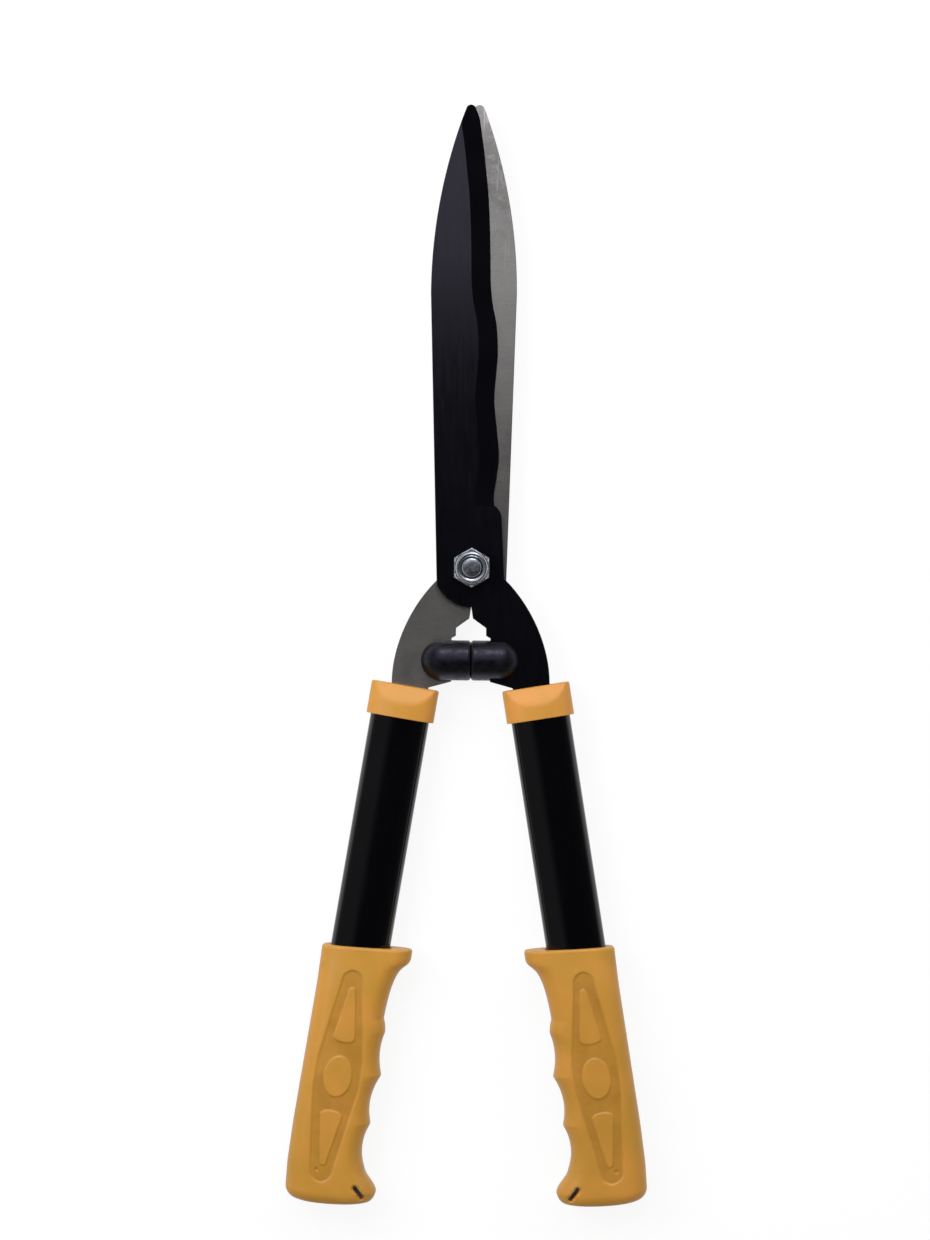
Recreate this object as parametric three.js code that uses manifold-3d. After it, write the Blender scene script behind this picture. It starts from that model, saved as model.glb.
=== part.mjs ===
// Hedge shears: two wavy-edged blades on one bolt, oval tube handles and moulded finger grips.
// Millimetres. The shears lie flat: +Y runs to the blade tips, +X to the right and +Z up.
// The origin is the centre of the bolt head's lower face, level with the undersides of the grips.
// Both halves are the same set of pieces: the rear half is the front half turned over about Y.
import * as THREE from "three";
import { mergeVertices } from "three/addons/utils/BufferGeometryUtils.js";
import Module from "manifold-3d";

const wasm = await Module();
wasm.setup();

// Clearances
const fitGap = 0.3; // round a piece that sits in another
const bladeGap = 0.3; // between the inner faces of the two blades
const seatGap = 0.05; // between flat faces that the bolt clamps
const cutOverrun = 3; // how far a cutting shape runs past what it cuts

// Pivot bolt, washer and lock nut
const boltDiameter = 10;
const boltChamfer = 1;
const boltHeadHeight = 6.4;
const boltEndAboveNut = 1;
const hexAcrossFlats = 17;
const hexChamfer = 1.2;
const hexChamferTurn = THREE.MathUtils.degToRad(30);
const washerDiameter = 20;
const washerThickness = 2;
const nutHexHeight = 7;
const nutCollarHeight = 3;
const nutCollarDiameter = 14.6;
const nutCollarRound = 1.2;
const nutLipThickness = 0.6;
const nutMouthDiameter = 11.6;
const nylonRingDiameter = 13;
const nylonRingHeight = 2;

// Blades, with distances along Y from the pivot
const bladeThickness = 3.5;
const bladeLength = 226.9;
const bladeBellyAt = 134;
const spineAtPivot = 17; // spine to the pivot's centre line
const spineAtBelly = 21.05;
const tipRadius = 2.5;
const tipOffset = 2.05; // the tip's round lies this far to the spine's side
const bossRadius = 19.1;
const bevelWidth = 9.4;
const bevelLand = 0.6; // thickness left at the cutting edge
const bevelEndAt = 30.9; // the ledge where the ground bevel stops
const edgeAtLedge = 10.9; // cutting edge to the centre line, at the ledge
const ricassoTop = 14.7;
const ricassoFoot = 16.2;
const ricassoFootBelow = 5.3; // below the pivot
const ricassoCorner = 7.4; // length of the rounded corner under the ledge
const ricassoCornerLean = 3; // how far under the ledge the corner's two sides would meet
const edgeSteps = 54;

// The wavy cutting edge between the ledge and the tip. Each point gives how far along that stretch
// it lies, and how far out, as a share of the blade's half width at its belly.
const edgeWaveShares = [
  [0.025, 0.505],
  [0.076, 0.572],
  [0.127, 0.613],
  [0.19, 0.561],
  [0.266, 0.496],
  [0.342, 0.543],
  [0.392, 0.567],
  [0.456, 0.533],
  [0.506, 0.444],
  [0.557, 0.392],
  [0.633, 0.377],
  [0.709, 0.358],
  [0.785, 0.319],
  [0.848, 0.259],
  [0.899, 0.208],
  [0.944, 0.148],
  [0.98, 0.094],
];

// Rubber bumpers
const bumperRadius = 9.85;
const bumperLength = 24.4; // from the centre line to the top of the dome
const bumperAt = 45.3; // axis below the pivot
const bumperFaceGap = 0.4; // between the two faces when closed
const bumperRound = 1.5;

// Handles: their axes leave the pivot's cross line at handleFoot and spread by handleSpread
const handleFoot = 22.4;
const handleSpread = THREE.MathUtils.degToRad(9.3);
const collarBelowBumper = 3.35;
const collarWidth = 33.3;
const collarDepth = 19.4;
const collarLength = 16.1;
const collarRound = 0.8;
const collarFacetLength = 8;
const collarFacetDepth = 4.4;
const tubeWidth = 29;
const tubeDepth = 16;
const tubeWall = 1.2;
const tubeShownLength = 113.4; // between the collar and the grip
const tubeInGrip = 97.6;
const plugLength = 44;
const pinDiameter = 4;
const pinInset = 4; // from the tube's top end

// Tangs
const slitHalfWidth = 0.86;
const slitSlope = 4.7; // length of the slope that opens the slit into the window
const windowHalfWidth = 7.35;
const windowSide = 4.5;
const windowAboveBumper = 1.55;
const lugRoot = 9.5; // centre line to where the lug that carries the bumper begins
const lugTip = 3.5;
const lugWidth = 8.6;
const tangBelowBumper = 0.6;
const tangAboveCollar = 0.8;
const tangMouthInner = 11.3; // from the handle's axis, at the collar
const tangMouthOuter = 7;
const tangInTube = 51.5;
const tangEndHalfWidth = 6.5;
const tangEndCorner = 3;
const tangShoulderRise = 16.15; // the outer curve leaves the collar straight up by this much
const tangWaistRun = 14.4; // and comes to the ricasso's foot along this slope
const tangWaistDrop = 13.99;

// Grips. Reach and back are measured from the handle's axis.
const gripLength = 126.4;
const gripThickness = 24.3;
const gripLeanShare = 0.065; // the grip's cross sections lean this much toward the hand's heel
const gripFlatShare = 0.04; // the part of the oval's height that is cut flat
const gripTopRound = 1.4;
const gripEndRound = 5;
const gripTopThickness = 22;
const gripSwellLength = 24;
const gripWall = 3.5; // over the tube, on the back
const gripTopFlare = 0.6;
const gripEndTaper = 1.9;
const gripTopFlareLength = 18;
const gripEndTaperLength = 39;
const hornHeight = 10.3; // guard horn above the tube
// Finger side, as shares of the grip's length and of the horn's height
const hornEndShares = [0.021, 1.06];
const hornCurveShares = [0.08, 0.92];
const hornNeckShares = [0.025, 0.34];
const firstHollowShares = [0.273, 0.274];
const firstRiseShares = [0.3, 0.42];
const ridgeShares = [
  [0.324, 0.448],
  [0.491, 0.61],
  [0.68, 0.495],
];
const hollowShares = [0.33, 0.5]; // how far each curve between two ridges is drawn in
const heelHollowShares = [0.766, 0.057];
const heelFootShares = [0.853, 0.56];
const heelCurveShares = [
  [0.889, 0.67],
  [0.912, 1.16],
];
const heelTopShares = [0.95, 1.3];
const heelEndShare = 1.19;

// Relief on both faces of each grip, with places as shares of the grip's length
const reliefDepth = 0.8;
const panelEndShares = [0.087, 0.923];
const panelWaistShares = [0.435, 0.553];
const panelHalfWidth = 11.9;
const panelEndRadius = 4.9;
const padInset = 8.6; // from the panel's end to the pad's narrow end
const padLength = 27;
const padNarrowRadius = 1.5;
const padWideHalfWidth = 5.3;
const padWideRound = 3;
const roundPadHalfLength = 10;
const roundPadHalfWidth = 7;

// Lanyard slot through the heel
const slotLength = 8.4;
const slotWidth = 3.2;
const slotFromEnd = 8.6;
const slotFromHeel = 8.3;
const slotTurn = THREE.MathUtils.degToRad(45);

// Smoothness
const roundSteps = 32;
const ovalSteps = 40;
const gripSteps = 24;
const stationSteps = 5;
const fingerCurveSteps = 24;
const ovalPower = 2.4; // 2 is an ellipse, more is fuller
const gripPower = 2.8;

// Heights of the stack on the bolt
const boltRadius = boltDiameter / 2;
const washerBottom = boltHeadHeight + seatGap;
const matingPlane = washerBottom + washerThickness + seatGap + bladeThickness + bladeGap / 2;
const plateInner = bladeGap / 2; // above the mating plane
const plateOuter = plateInner + bladeThickness;
const nutBottom = matingPlane + plateOuter + seatGap;
const nutHexTop = nutBottom + nutHexHeight;
const nutTop = nutHexTop + nutCollarHeight;
const boltEnd = nutTop + boltEndAboveNut;

// Distances along the handle
const collarTopAt = bumperAt + bumperRadius + collarBelowBumper;
const collarEndAt = collarTopAt + collarLength;
const tubeTopAt = collarTopAt + collarFacetLength;
const gripTopAt = collarEndAt + tubeShownLength;
const gripEndAt = gripTopAt + gripLength;
const tubeEndAt = gripTopAt + tubeInGrip;
const pinAt = tubeTopAt + pinInset;
const tangMouthAt = collarTopAt - tangAboveCollar;
const tangEndAt = tubeTopAt + tangInTube;

// Half widths and half depths
const tubeHalfWidth = tubeWidth / 2;
const tubeHalfDepth = tubeDepth / 2;
const boreHalfWidth = tubeHalfWidth - tubeWall;
const boreHalfDepth = tubeHalfDepth - tubeWall;

// Turns a closed three.js geometry into a solid.
function solid(geometry) {
  const bare = new THREE.BufferGeometry();
  bare.setAttribute("position", geometry.getAttribute("position"));
  bare.setIndex(geometry.index);
  const merged = mergeVertices(bare);
  const corners = merged.index.array;
  const kept = [];
  for (let i = 0; i < corners.length; i += 3) {
    const [a, b, c] = corners.slice(i, i + 3);
    if (a !== b && b !== c && c !== a) kept.push(a, b, c);
  }
  return new wasm.Manifold(
    new wasm.Mesh({
      numProp: 3,
      vertProperties: new Float32Array(merged.attributes.position.array),
      triVerts: new Uint32Array(kept),
    }),
  );
}

// Turns a solid back into a three.js geometry.
function geometryOf(manifold) {
  const mesh = manifold.getMesh();
  const positions = new Float32Array(mesh.numVert * 3);
  for (let i = 0; i < mesh.numVert; i += 1) {
    const start = i * mesh.numProp;
    positions.set(mesh.vertProperties.subarray(start, start + 3), i * 3);
  }
  const geometry = new THREE.BufferGeometry();
  geometry.setAttribute("position", new THREE.BufferAttribute(positions, 3));
  geometry.setIndex(new THREE.BufferAttribute(mesh.triVerts, 1));
  geometry.computeVertexNormals();
  return geometry;
}

// Skins a row of closed rings with equal numbers of points, and closes both ends with a fan.
// Each ring runs anticlockwise as seen from the last ring's side.
function loft(rings) {
  const size = rings[0].length;
  const middle = (ring) =>
    ring.reduce((sum, point) => sum.add(point), new THREE.Vector3()).divideScalar(size);
  const base = (rings.length - 1) * size;
  const first = rings.length * size;
  const last = first + 1;
  const faces = [];
  for (let j = 0; j < size; j += 1) {
    const k = (j + 1) % size;
    for (let i = 0; i < base; i += size) {
      faces.push(i + j, i + k, i + size + k, i + j, i + size + k, i + size + j);
    }
    faces.push(first, k, j, last, base + j, base + k);
  }
  const points = [...rings.flat(), middle(rings[0]), middle(rings[rings.length - 1])];
  const geometry = new THREE.BufferGeometry().setFromPoints(points);
  geometry.setIndex(faces);
  return solid(geometry);
}

// A flat shape, thickened from one height to another.
function slab(shape, bottom, top, curveSegments = 8) {
  const depth = top - bottom;
  const geometry = new THREE.ExtrudeGeometry(shape, {
    depth,
    bevelEnabled: false,
    curveSegments,
  });
  return solid(geometry.translate(0, 0, bottom));
}

// An upright bar: round, or with flat sides when it gets fewer steps.
function bar(radius, bottom, top, steps = roundSteps) {
  const geometry = new THREE.CylinderGeometry(radius, radius, top - bottom, steps);
  geometry.rotateX(Math.PI / 2);
  return solid(geometry.translate(0, 0, (bottom + top) / 2));
}

// Spins a profile of [radius, height] points round Z, listed upward along its outer side.
function spin(profile) {
  const points = profile.map(([radius, height]) => new THREE.Vector2(radius, height));
  return solid(new THREE.LatheGeometry(points, roundSteps).rotateX(Math.PI / 2));
}

// A block between two X values and two heights, centred on Y.
function block(fromX, toX, width, bottom, top) {
  const geometry = new THREE.BoxGeometry(toX - fromX, width, top - bottom);
  return solid(geometry.translate((fromX + toX) / 2, 0, (bottom + top) / 2));
}

// Points of a quarter round about a centre, anticlockwise from a start angle.
function quarterRound(x, y, radius, startAngle, steps = 4) {
  return Array.from({ length: steps + 1 }, (_, i) => {
    const angle = startAngle + ((Math.PI / 2) * i) / steps;
    return [x + radius * Math.cos(angle), y + radius * Math.sin(angle)];
  });
}

// One point of an oval whose sides are fuller than an ellipse's.
function ovalPoint(halfWidth, halfDepth, power, turn) {
  const bend = (value) => Math.sign(value) * Math.abs(value) ** (2 / power);
  return [halfWidth * bend(Math.cos(turn)), halfDepth * bend(Math.sin(turn))];
}

// A ring of an oval section square to the handle, at a distance along it.
function ovalRing(halfWidth, halfDepth, along) {
  return Array.from({ length: ovalSteps }, (_, i) => {
    const turn = (2 * Math.PI * i) / ovalSteps;
    const [across, up] = ovalPoint(halfWidth, halfDepth, ovalPower, turn);
    return new THREE.Vector3(across, -along, up);
  });
}

// A straight oval bar along the handle.
function ovalBar(halfWidth, halfDepth, from, to) {
  return loft([ovalRing(halfWidth, halfDepth, from), ovalRing(halfWidth, halfDepth, to)]);
}

// A point given across and along the handle, in the frame of the blades.
function fromHandle(across, along) {
  const x = handleFoot + across * Math.cos(handleSpread) + along * Math.sin(handleSpread);
  const y = across * Math.sin(handleSpread) - along * Math.cos(handleSpread);
  return [x, y];
}

// Pivot hardware, in the frame of the whole shears

// A hexagon with its corners toward the tips and the grips, both ends turned to a cone.
function hexagon(bottom, top) {
  const cornerRadius = hexAcrossFlats / 2 / Math.cos(Math.PI / 6);
  const faceRadius = cornerRadius - hexChamfer;
  const drop = hexChamfer * Math.tan(hexChamferTurn);
  const turned = spin([
    [0, bottom],
    [faceRadius, bottom],
    [cornerRadius, bottom + drop],
    [cornerRadius, top - drop],
    [faceRadius, top],
    [0, top],
  ]);
  return bar(cornerRadius, bottom, top, 6).intersect(turned);
}

function pivotBolt() {
  const shank = spin([
    [0, boltHeadHeight / 2],
    [boltRadius, boltHeadHeight / 2],
    [boltRadius, boltEnd - boltChamfer],
    [boltRadius - boltChamfer, boltEnd],
    [0, boltEnd],
  ]);
  return hexagon(0, boltHeadHeight).add(shank);
}

function washer() {
  const top = washerBottom + washerThickness;
  const hole = bar(boltRadius + fitGap, washerBottom - cutOverrun, top + cutOverrun);
  return bar(washerDiameter / 2, washerBottom, top).subtract(hole);
}

const ringTop = nutTop - nutLipThickness - seatGap;
const ringBottom = ringTop - nylonRingHeight;

function lockNut() {
  const radius = nutCollarDiameter / 2;
  const round = quarterRound(radius - nutCollarRound, nutTop - nutCollarRound, nutCollarRound, 0);
  const low = (nutBottom + nutHexTop) / 2;
  const collarPart = spin([[0, low], [radius, low], ...round, [0, nutTop]]);
  const bore = bar(boltRadius + fitGap, nutBottom - cutOverrun, nutTop);
  const seat = bar(nylonRingDiameter / 2 + fitGap, ringBottom - seatGap, ringTop + seatGap);
  const mouth = bar(nutMouthDiameter / 2, ringTop, nutTop + cutOverrun);
  return hexagon(nutBottom, nutHexTop).add(collarPart).subtract(bore.add(seat).add(mouth));
}

function nylonRing() {
  const hole = bar(boltRadius + fitGap, ringBottom - cutOverrun, ringTop + cutOverrun);
  return bar(nylonRingDiameter / 2, ringBottom, ringTop).subtract(hole);
}

// Blades, in the frame of the front half, whose z = 0 is the mating plane

// The spine bends in one arc from the belly and touches the tip's round from outside.
const tipY = bladeLength - tipRadius;
const tipRise = tipY - bladeBellyAt;
const tipInset = spineAtBelly - tipOffset;
const spineArcRadius =
  (tipInset ** 2 + tipRise ** 2 - tipRadius ** 2) / (2 * (tipInset - tipRadius));
const spineArcX = spineArcRadius - spineAtBelly;
const tipTurn = Math.atan2(tipRise, -tipOffset - spineArcX);

// The cutting edge, from the ledge to the tip.
function edgePoints() {
  const stretch = tipY - bevelEndAt;
  const waves = edgeWaveShares.map(
    ([along, out]) => new THREE.Vector2(out * spineAtBelly, bevelEndAt + along * stretch),
  );
  const foot = new THREE.Vector2(edgeAtLedge, bevelEndAt);
  const tip = new THREE.Vector2(tipRadius - tipOffset, tipY);
  return new THREE.SplineCurve([foot, ...waves, tip]).getPoints(edgeSteps);
}

// The front blade's outline, anticlockwise from the top of the slit between the tangs.
function bladeOutline() {
  const windowStepAt = bumperAt - bumperRadius - windowAboveBumper;
  const windowTopAt = windowStepAt - windowSide;
  const tangFromBumper = bumperAt + bumperRadius + tangBelowBumper;
  const shape = new THREE.Shape();
  shape.moveTo(0, -bossRadius);
  shape.lineTo(slitHalfWidth, slitSlope - windowTopAt);
  shape.lineTo(windowHalfWidth, -windowTopAt);
  shape.lineTo(windowHalfWidth, -windowStepAt);
  shape.lineTo(lugRoot, -windowStepAt);
  shape.lineTo(lugRoot, lugWidth / 2 - bumperAt);
  shape.lineTo(lugTip, lugWidth / 2 - bumperAt);
  shape.lineTo(lugTip, -lugWidth / 2 - bumperAt);
  shape.lineTo(lugRoot, -lugWidth / 2 - bumperAt);
  shape.lineTo(lugRoot, -tangFromBumper);
  shape.lineTo(...fromHandle(-tangMouthInner, tangMouthAt));
  shape.lineTo(...fromHandle(-tangEndHalfWidth, tangEndAt - tangEndCorner));
  shape.lineTo(...fromHandle(tangEndCorner - tangEndHalfWidth, tangEndAt));
  shape.lineTo(...fromHandle(tangEndHalfWidth - tangEndCorner, tangEndAt));
  shape.lineTo(...fromHandle(tangEndHalfWidth, tangEndAt - tangEndCorner));
  const [mouthX, mouthY] = fromHandle(tangMouthOuter, tangMouthAt);
  shape.lineTo(mouthX, mouthY);
  shape.bezierCurveTo(
    mouthX,
    mouthY + tangShoulderRise,
    ricassoFoot + tangWaistRun,
    -ricassoFootBelow - tangWaistDrop,
    ricassoFoot,
    -ricassoFootBelow,
  );
  shape.lineTo(ricassoTop, bevelEndAt - ricassoCorner);
  shape.quadraticCurveTo(ricassoTop, bevelEndAt - ricassoCornerLean, edgeAtLedge, bevelEndAt);
  edgePoints().slice(1).forEach(({ x, y }) => shape.lineTo(x, y));
  shape.absarc(-tipOffset, tipY, tipRadius, 0, tipTurn);
  shape.absarc(spineArcX, bladeBellyAt, spineArcRadius, tipTurn, Math.PI);
  shape.lineTo(-spineAtPivot, 0);
  const bossTurn = Math.PI + Math.acos(spineAtPivot / bossRadius);
  shape.absarc(0, 0, bossRadius, bossTurn, 1.5 * Math.PI);
  return shape;
}

// What the grinder takes off the outer face: a sloping cut that follows the wavy edge.
function bevelCut() {
  const slope = (bladeThickness - bevelLand) / bevelWidth;
  const top = plateOuter + cutOverrun;
  const edge = edgePoints();
  const beyondTip = new THREE.Vector2(tipRadius - tipOffset, bladeLength + cutOverrun);
  const rings = [...edge, beyondTip].map(({ x, y }) => [
    new THREE.Vector3(x - bevelWidth, y, plateOuter),
    new THREE.Vector3(x - bevelWidth, y, top),
    new THREE.Vector3(x + cutOverrun, y, top),
    new THREE.Vector3(x + cutOverrun, y, plateInner + bevelLand - slope * cutOverrun),
  ]);
  return loft(rings);
}

// The cross pin's bar, grown by a gap where it cuts its hole.
function pinBar(gap) {
  return bar(pinDiameter / 2 + gap, -tubeHalfDepth - gap, tubeHalfDepth + gap, roundSteps / 2);
}

function blade() {
  const boltHole = bar(boltRadius + fitGap, -cutOverrun, plateOuter + cutOverrun);
  const pinHole = pinBar(fitGap).translate([...fromHandle(0, pinAt), 0]);
  return slab(bladeOutline(), plateInner, plateOuter, 6)
    .subtract(bevelCut())
    .subtract(boltHole.add(pinHole));
}

// A rubber cylinder with a domed outer end, slotted so that it straddles the tang.
function bumper() {
  const face = bumperFaceGap / 2;
  const corner = quarterRound(
    bumperRadius - bumperRound,
    face + bumperRound,
    bumperRound,
    -Math.PI / 2,
  );
  const dome = quarterRound(0, bumperLength - bumperRadius, bumperRadius, 0, 9);
  const turned = spin([[0, face], ...corner, ...dome.slice(0, -1), [0, bumperLength]]);
  const low = plateInner - fitGap;
  const high = plateOuter + fitGap;
  const width = 2 * bumperRadius + cutOverrun;
  const slot = block(lugRoot - fitGap, bumperLength + cutOverrun, width, low, high);
  const pocket = block(lugTip - fitGap, lugRoot, lugWidth + 2 * fitGap, low, high);
  return turned
    .rotate([0, 90, 0])
    .subtract(slot.add(pocket))
    .translate([0, -bumperAt, 0]);
}

// Handle pieces, in the frame of one handle: Y points up its axis and z = 0 is the mating plane

// The room that the tang takes in the collar and the plug, gap included.
function tangSlot() {
  const points = [
    [-tangMouthInner - fitGap, tangMouthAt - cutOverrun],
    [-tangMouthInner - fitGap, tangMouthAt],
    [-tangEndHalfWidth - fitGap, tangEndAt],
    [tangEndHalfWidth + fitGap, tangEndAt],
    [tangMouthOuter + fitGap, tangMouthAt],
    [tangMouthOuter + fitGap, tangMouthAt - cutOverrun],
  ].map(([across, along]) => new THREE.Vector2(across, -along));
  return slab(new THREE.Shape(points), plateInner - fitGap, plateOuter + fitGap);
}

// The two sloping cuts that thin the faces of the collar toward the tang.
function collarFacets() {
  const halfDepth = collarDepth / 2;
  const slope = collarFacetDepth / collarFacetLength;
  const width = collarWidth + 2 * cutOverrun;
  const from = cutOverrun - collarTopAt;
  const to = -collarTopAt - collarFacetLength;
  const low = halfDepth - collarFacetDepth - slope * cutOverrun;
  const high = halfDepth + cutOverrun;
  const profile = [
    [from, low],
    [from, high],
    [to, high],
    [to, halfDepth],
  ].map(([y, z]) => new THREE.Vector2(y, z));
  const geometry = new THREE.ExtrudeGeometry(new THREE.Shape(profile), {
    depth: width,
    bevelEnabled: false,
  });
  geometry.translate(0, 0, -width / 2);
  // The profile is drawn in Y and Z, and its depth runs along X.
  const toHandle = new THREE.Matrix4().makeBasis(
    new THREE.Vector3(0, 1, 0),
    new THREE.Vector3(0, 0, 1),
    new THREE.Vector3(1, 0, 0),
  );
  const facet = solid(geometry.applyMatrix4(toHandle));
  return facet.add(facet.mirror([0, 0, 1]));
}

function collar() {
  const halfWidth = collarWidth / 2;
  const halfDepth = collarDepth / 2;
  const form = loft([
    ovalRing(halfWidth - collarRound, halfDepth - collarRound, collarTopAt),
    ovalRing(halfWidth, halfDepth, collarTopAt + collarRound),
    ovalRing(halfWidth, halfDepth, collarEndAt),
  ]);
  const socket = ovalBar(
    tubeHalfWidth + fitGap,
    tubeHalfDepth + fitGap,
    tubeTopAt - fitGap,
    collarEndAt + cutOverrun,
  );
  return form.subtract(collarFacets()).subtract(tangSlot()).subtract(socket);
}

function tube() {
  const bore = ovalBar(
    boreHalfWidth,
    boreHalfDepth,
    tubeTopAt - cutOverrun,
    tubeEndAt + cutOverrun,
  );
  const pinHole = pinBar(fitGap).translate([0, -pinAt, 0]);
  return ovalBar(tubeHalfWidth, tubeHalfDepth, tubeTopAt, tubeEndAt).subtract(bore.add(pinHole));
}

function tangPlug() {
  const end = tubeTopAt + plugLength;
  const pinHole = pinBar(fitGap).translate([0, -pinAt, 0]);
  return ovalBar(boreHalfWidth - fitGap, boreHalfDepth - fitGap, tubeTopAt, end)
    .subtract(tangSlot())
    .subtract(pinHole);
}

function tangPin() {
  return pinBar(0).translate([0, -pinAt, 0]);
}

// Grips

const alongGrip = (share) => gripTopAt + share * gripLength;
const reachOf = (share) => tubeHalfWidth + share * hornHeight;
const fingerPoint = ([along, reach]) => [alongGrip(along), reachOf(reach)];

// The finger side, as points of distance along the handle and reach from its axis.
function fingerPoints() {
  const path = new THREE.Path();
  path.moveTo(gripTopAt, reachOf(hornEndShares[1]));
  path.lineTo(...fingerPoint(hornEndShares));
  path.bezierCurveTo(
    ...fingerPoint(hornCurveShares),
    ...fingerPoint(hornNeckShares),
    ...fingerPoint(firstHollowShares),
  );
  path.quadraticCurveTo(...fingerPoint(firstRiseShares), ...fingerPoint(ridgeShares[0]));
  hollowShares.forEach((depth, i) => {
    const [a, b] = [ridgeShares[i], ridgeShares[i + 1]];
    const middle = [(a[0] + b[0]) / 2, (a[1] + b[1]) / 2 - depth];
    path.quadraticCurveTo(...fingerPoint(middle), ...fingerPoint(b));
  });
  path.quadraticCurveTo(...fingerPoint(heelHollowShares), ...fingerPoint(heelFootShares));
  path.bezierCurveTo(...heelCurveShares.flatMap(fingerPoint), ...fingerPoint(heelTopShares));
  path.lineTo(gripEndAt, reachOf(heelEndShare));
  return path.getPoints(fingerCurveSteps);
}

// The back of the grip: flared at the top, straight along the palm and tapered at the end.
function backPoints() {
  const back = tubeHalfWidth + gripWall;
  return [
    new THREE.Vector2(gripTopAt, back + gripTopFlare),
    new THREE.Vector2(gripTopAt + gripTopFlareLength, back),
    new THREE.Vector2(gripEndAt - gripEndTaperLength, back),
    new THREE.Vector2(gripEndAt, back - gripEndTaper),
  ];
}

const fingerLine = fingerPoints();
const backLine = backPoints();

// The height of a line of points at one distance along it.
function heightAt(points, along) {
  const next = Math.max(points.findIndex((point) => point.x >= along), 1);
  const [a, b] = [points[next - 1], points[next]];
  return THREE.MathUtils.mapLinear(along, a.x, b.x, a.y, b.y);
}

// One section of the grip, drawn in by an inset. It leans with the grip's ends.
function gripRing(along, inset) {
  const fingers = heightAt(fingerLine, along) - inset;
  const back = heightAt(backLine, along) - inset;
  const swell = THREE.MathUtils.smoothstep(along, gripTopAt, gripTopAt + gripSwellLength);
  const thickness = THREE.MathUtils.lerp(gripTopThickness, gripThickness, swell);
  const halfDepth = thickness / 2 - inset;
  return Array.from({ length: gripSteps }, (_, i) => {
    const turn = (2 * Math.PI * i) / gripSteps;
    const height = halfDepth * (1 + gripFlatShare);
    const [side, rise] = ovalPoint((back + fingers) / 2, height, gripPower, turn);
    const across = (back - fingers) / 2 + side;
    const up = THREE.MathUtils.clamp(rise, -halfDepth, halfDepth);
    return new THREE.Vector3(across, -along - gripLeanShare * across, up);
  });
}

// Stations on each ridge and evenly between them.
function gripStations() {
  const marks = [hornEndShares, firstHollowShares, ...ridgeShares, heelTopShares];
  const places = marks.map(([along]) => alongGrip(along));
  const between = places.slice(1).flatMap((to, i) =>
    Array.from({ length: stationSteps }, (_, k) =>
      THREE.MathUtils.lerp(places[i], to, (k + 1) / stationSteps),
    ),
  );
  return [places[0], ...between];
}

// The whole grip with rounded ends, drawn in by an inset all over.
function gripForm(inset) {
  const top = quarterRound(gripTopAt + gripTopRound, -gripTopRound, gripTopRound, Math.PI / 2, 2)
    .reverse()
    .map(([along, draw]) => gripRing(along, inset - draw));
  const end = quarterRound(gripEndAt - gripEndRound, -gripEndRound, gripEndRound, 0, 4)
    .reverse()
    .map(([along, draw]) => gripRing(along, inset - draw));
  const body = gripStations().map((along) => gripRing(along, inset));
  return loft([...top, ...body, ...end]);
}

// The panel: a long hexagon with round ends.
function panelShape() {
  const [top, end] = panelEndShares.map(alongGrip);
  const [waist, waistEnd] = panelWaistShares.map(alongGrip);
  const shape = new THREE.Shape();
  shape.absarc(0, -top - panelEndRadius, panelEndRadius, 0, Math.PI);
  shape.lineTo(-panelHalfWidth, -waist);
  shape.lineTo(-panelHalfWidth, -waistEnd);
  shape.absarc(0, -end + panelEndRadius, panelEndRadius, Math.PI, 2 * Math.PI);
  shape.lineTo(panelHalfWidth, -waistEnd);
  shape.lineTo(panelHalfWidth, -waist);
  return shape;
}

// A tapered pad whose narrow end faces one end of the panel. Its side is 1 or -1 along Y.
function wedgePad(panelEnd, side) {
  const narrow = panelEnd - side * (padInset + padNarrowRadius);
  const wide = panelEnd - side * (padInset + padLength);
  const shape = new THREE.Shape();
  shape.absarc(0, narrow, padNarrowRadius, 0, side * Math.PI, side < 0);
  shape.lineTo(-padWideHalfWidth, wide + side * padWideRound);
  shape.quadraticCurveTo(-padWideHalfWidth, wide, 0, wide);
  shape.quadraticCurveTo(padWideHalfWidth, wide, padWideHalfWidth, wide + side * padWideRound);
  return shape;
}

function roundPad() {
  const middle = -alongGrip((panelEndShares[0] + panelEndShares[1]) / 2);
  const shape = new THREE.Shape();
  shape.absellipse(0, middle, roundPadHalfWidth, roundPadHalfLength, 0, 2 * Math.PI);
  return shape;
}

function lanyardSlot() {
  const straight = (slotLength - slotWidth) / 2;
  const radius = slotWidth / 2;
  const shape = new THREE.Shape();
  shape.absarc(straight, 0, radius, -Math.PI / 2, Math.PI / 2);
  shape.absarc(-straight, 0, radius, Math.PI / 2, 1.5 * Math.PI);
  const across = -reachOf(heelTopShares[1]) + slotFromHeel;
  return slab(shape, -gripThickness, gripThickness)
    .rotate([0, 0, THREE.MathUtils.radToDeg(slotTurn)])
    .translate([across, slotFromEnd - gripEndAt, 0]);
}

function grip() {
  const [top, end] = panelEndShares.map(alongGrip);
  const through = (shape) => slab(shape, -gripThickness, gripThickness, 6);
  const relief = through(panelShape())
    .subtract(gripForm(reliefDepth))
    .subtract(through(wedgePad(-top, 1)))
    .subtract(through(wedgePad(-end, -1)))
    .subtract(through(roundPad()));
  const socket = ovalBar(
    tubeHalfWidth + fitGap,
    tubeHalfDepth + fitGap,
    gripTopAt - gripTopRound - cutOverrun,
    tubeEndAt + fitGap,
  );
  return gripForm(0).subtract(relief).subtract(socket).subtract(lanyardSlot());
}

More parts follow.
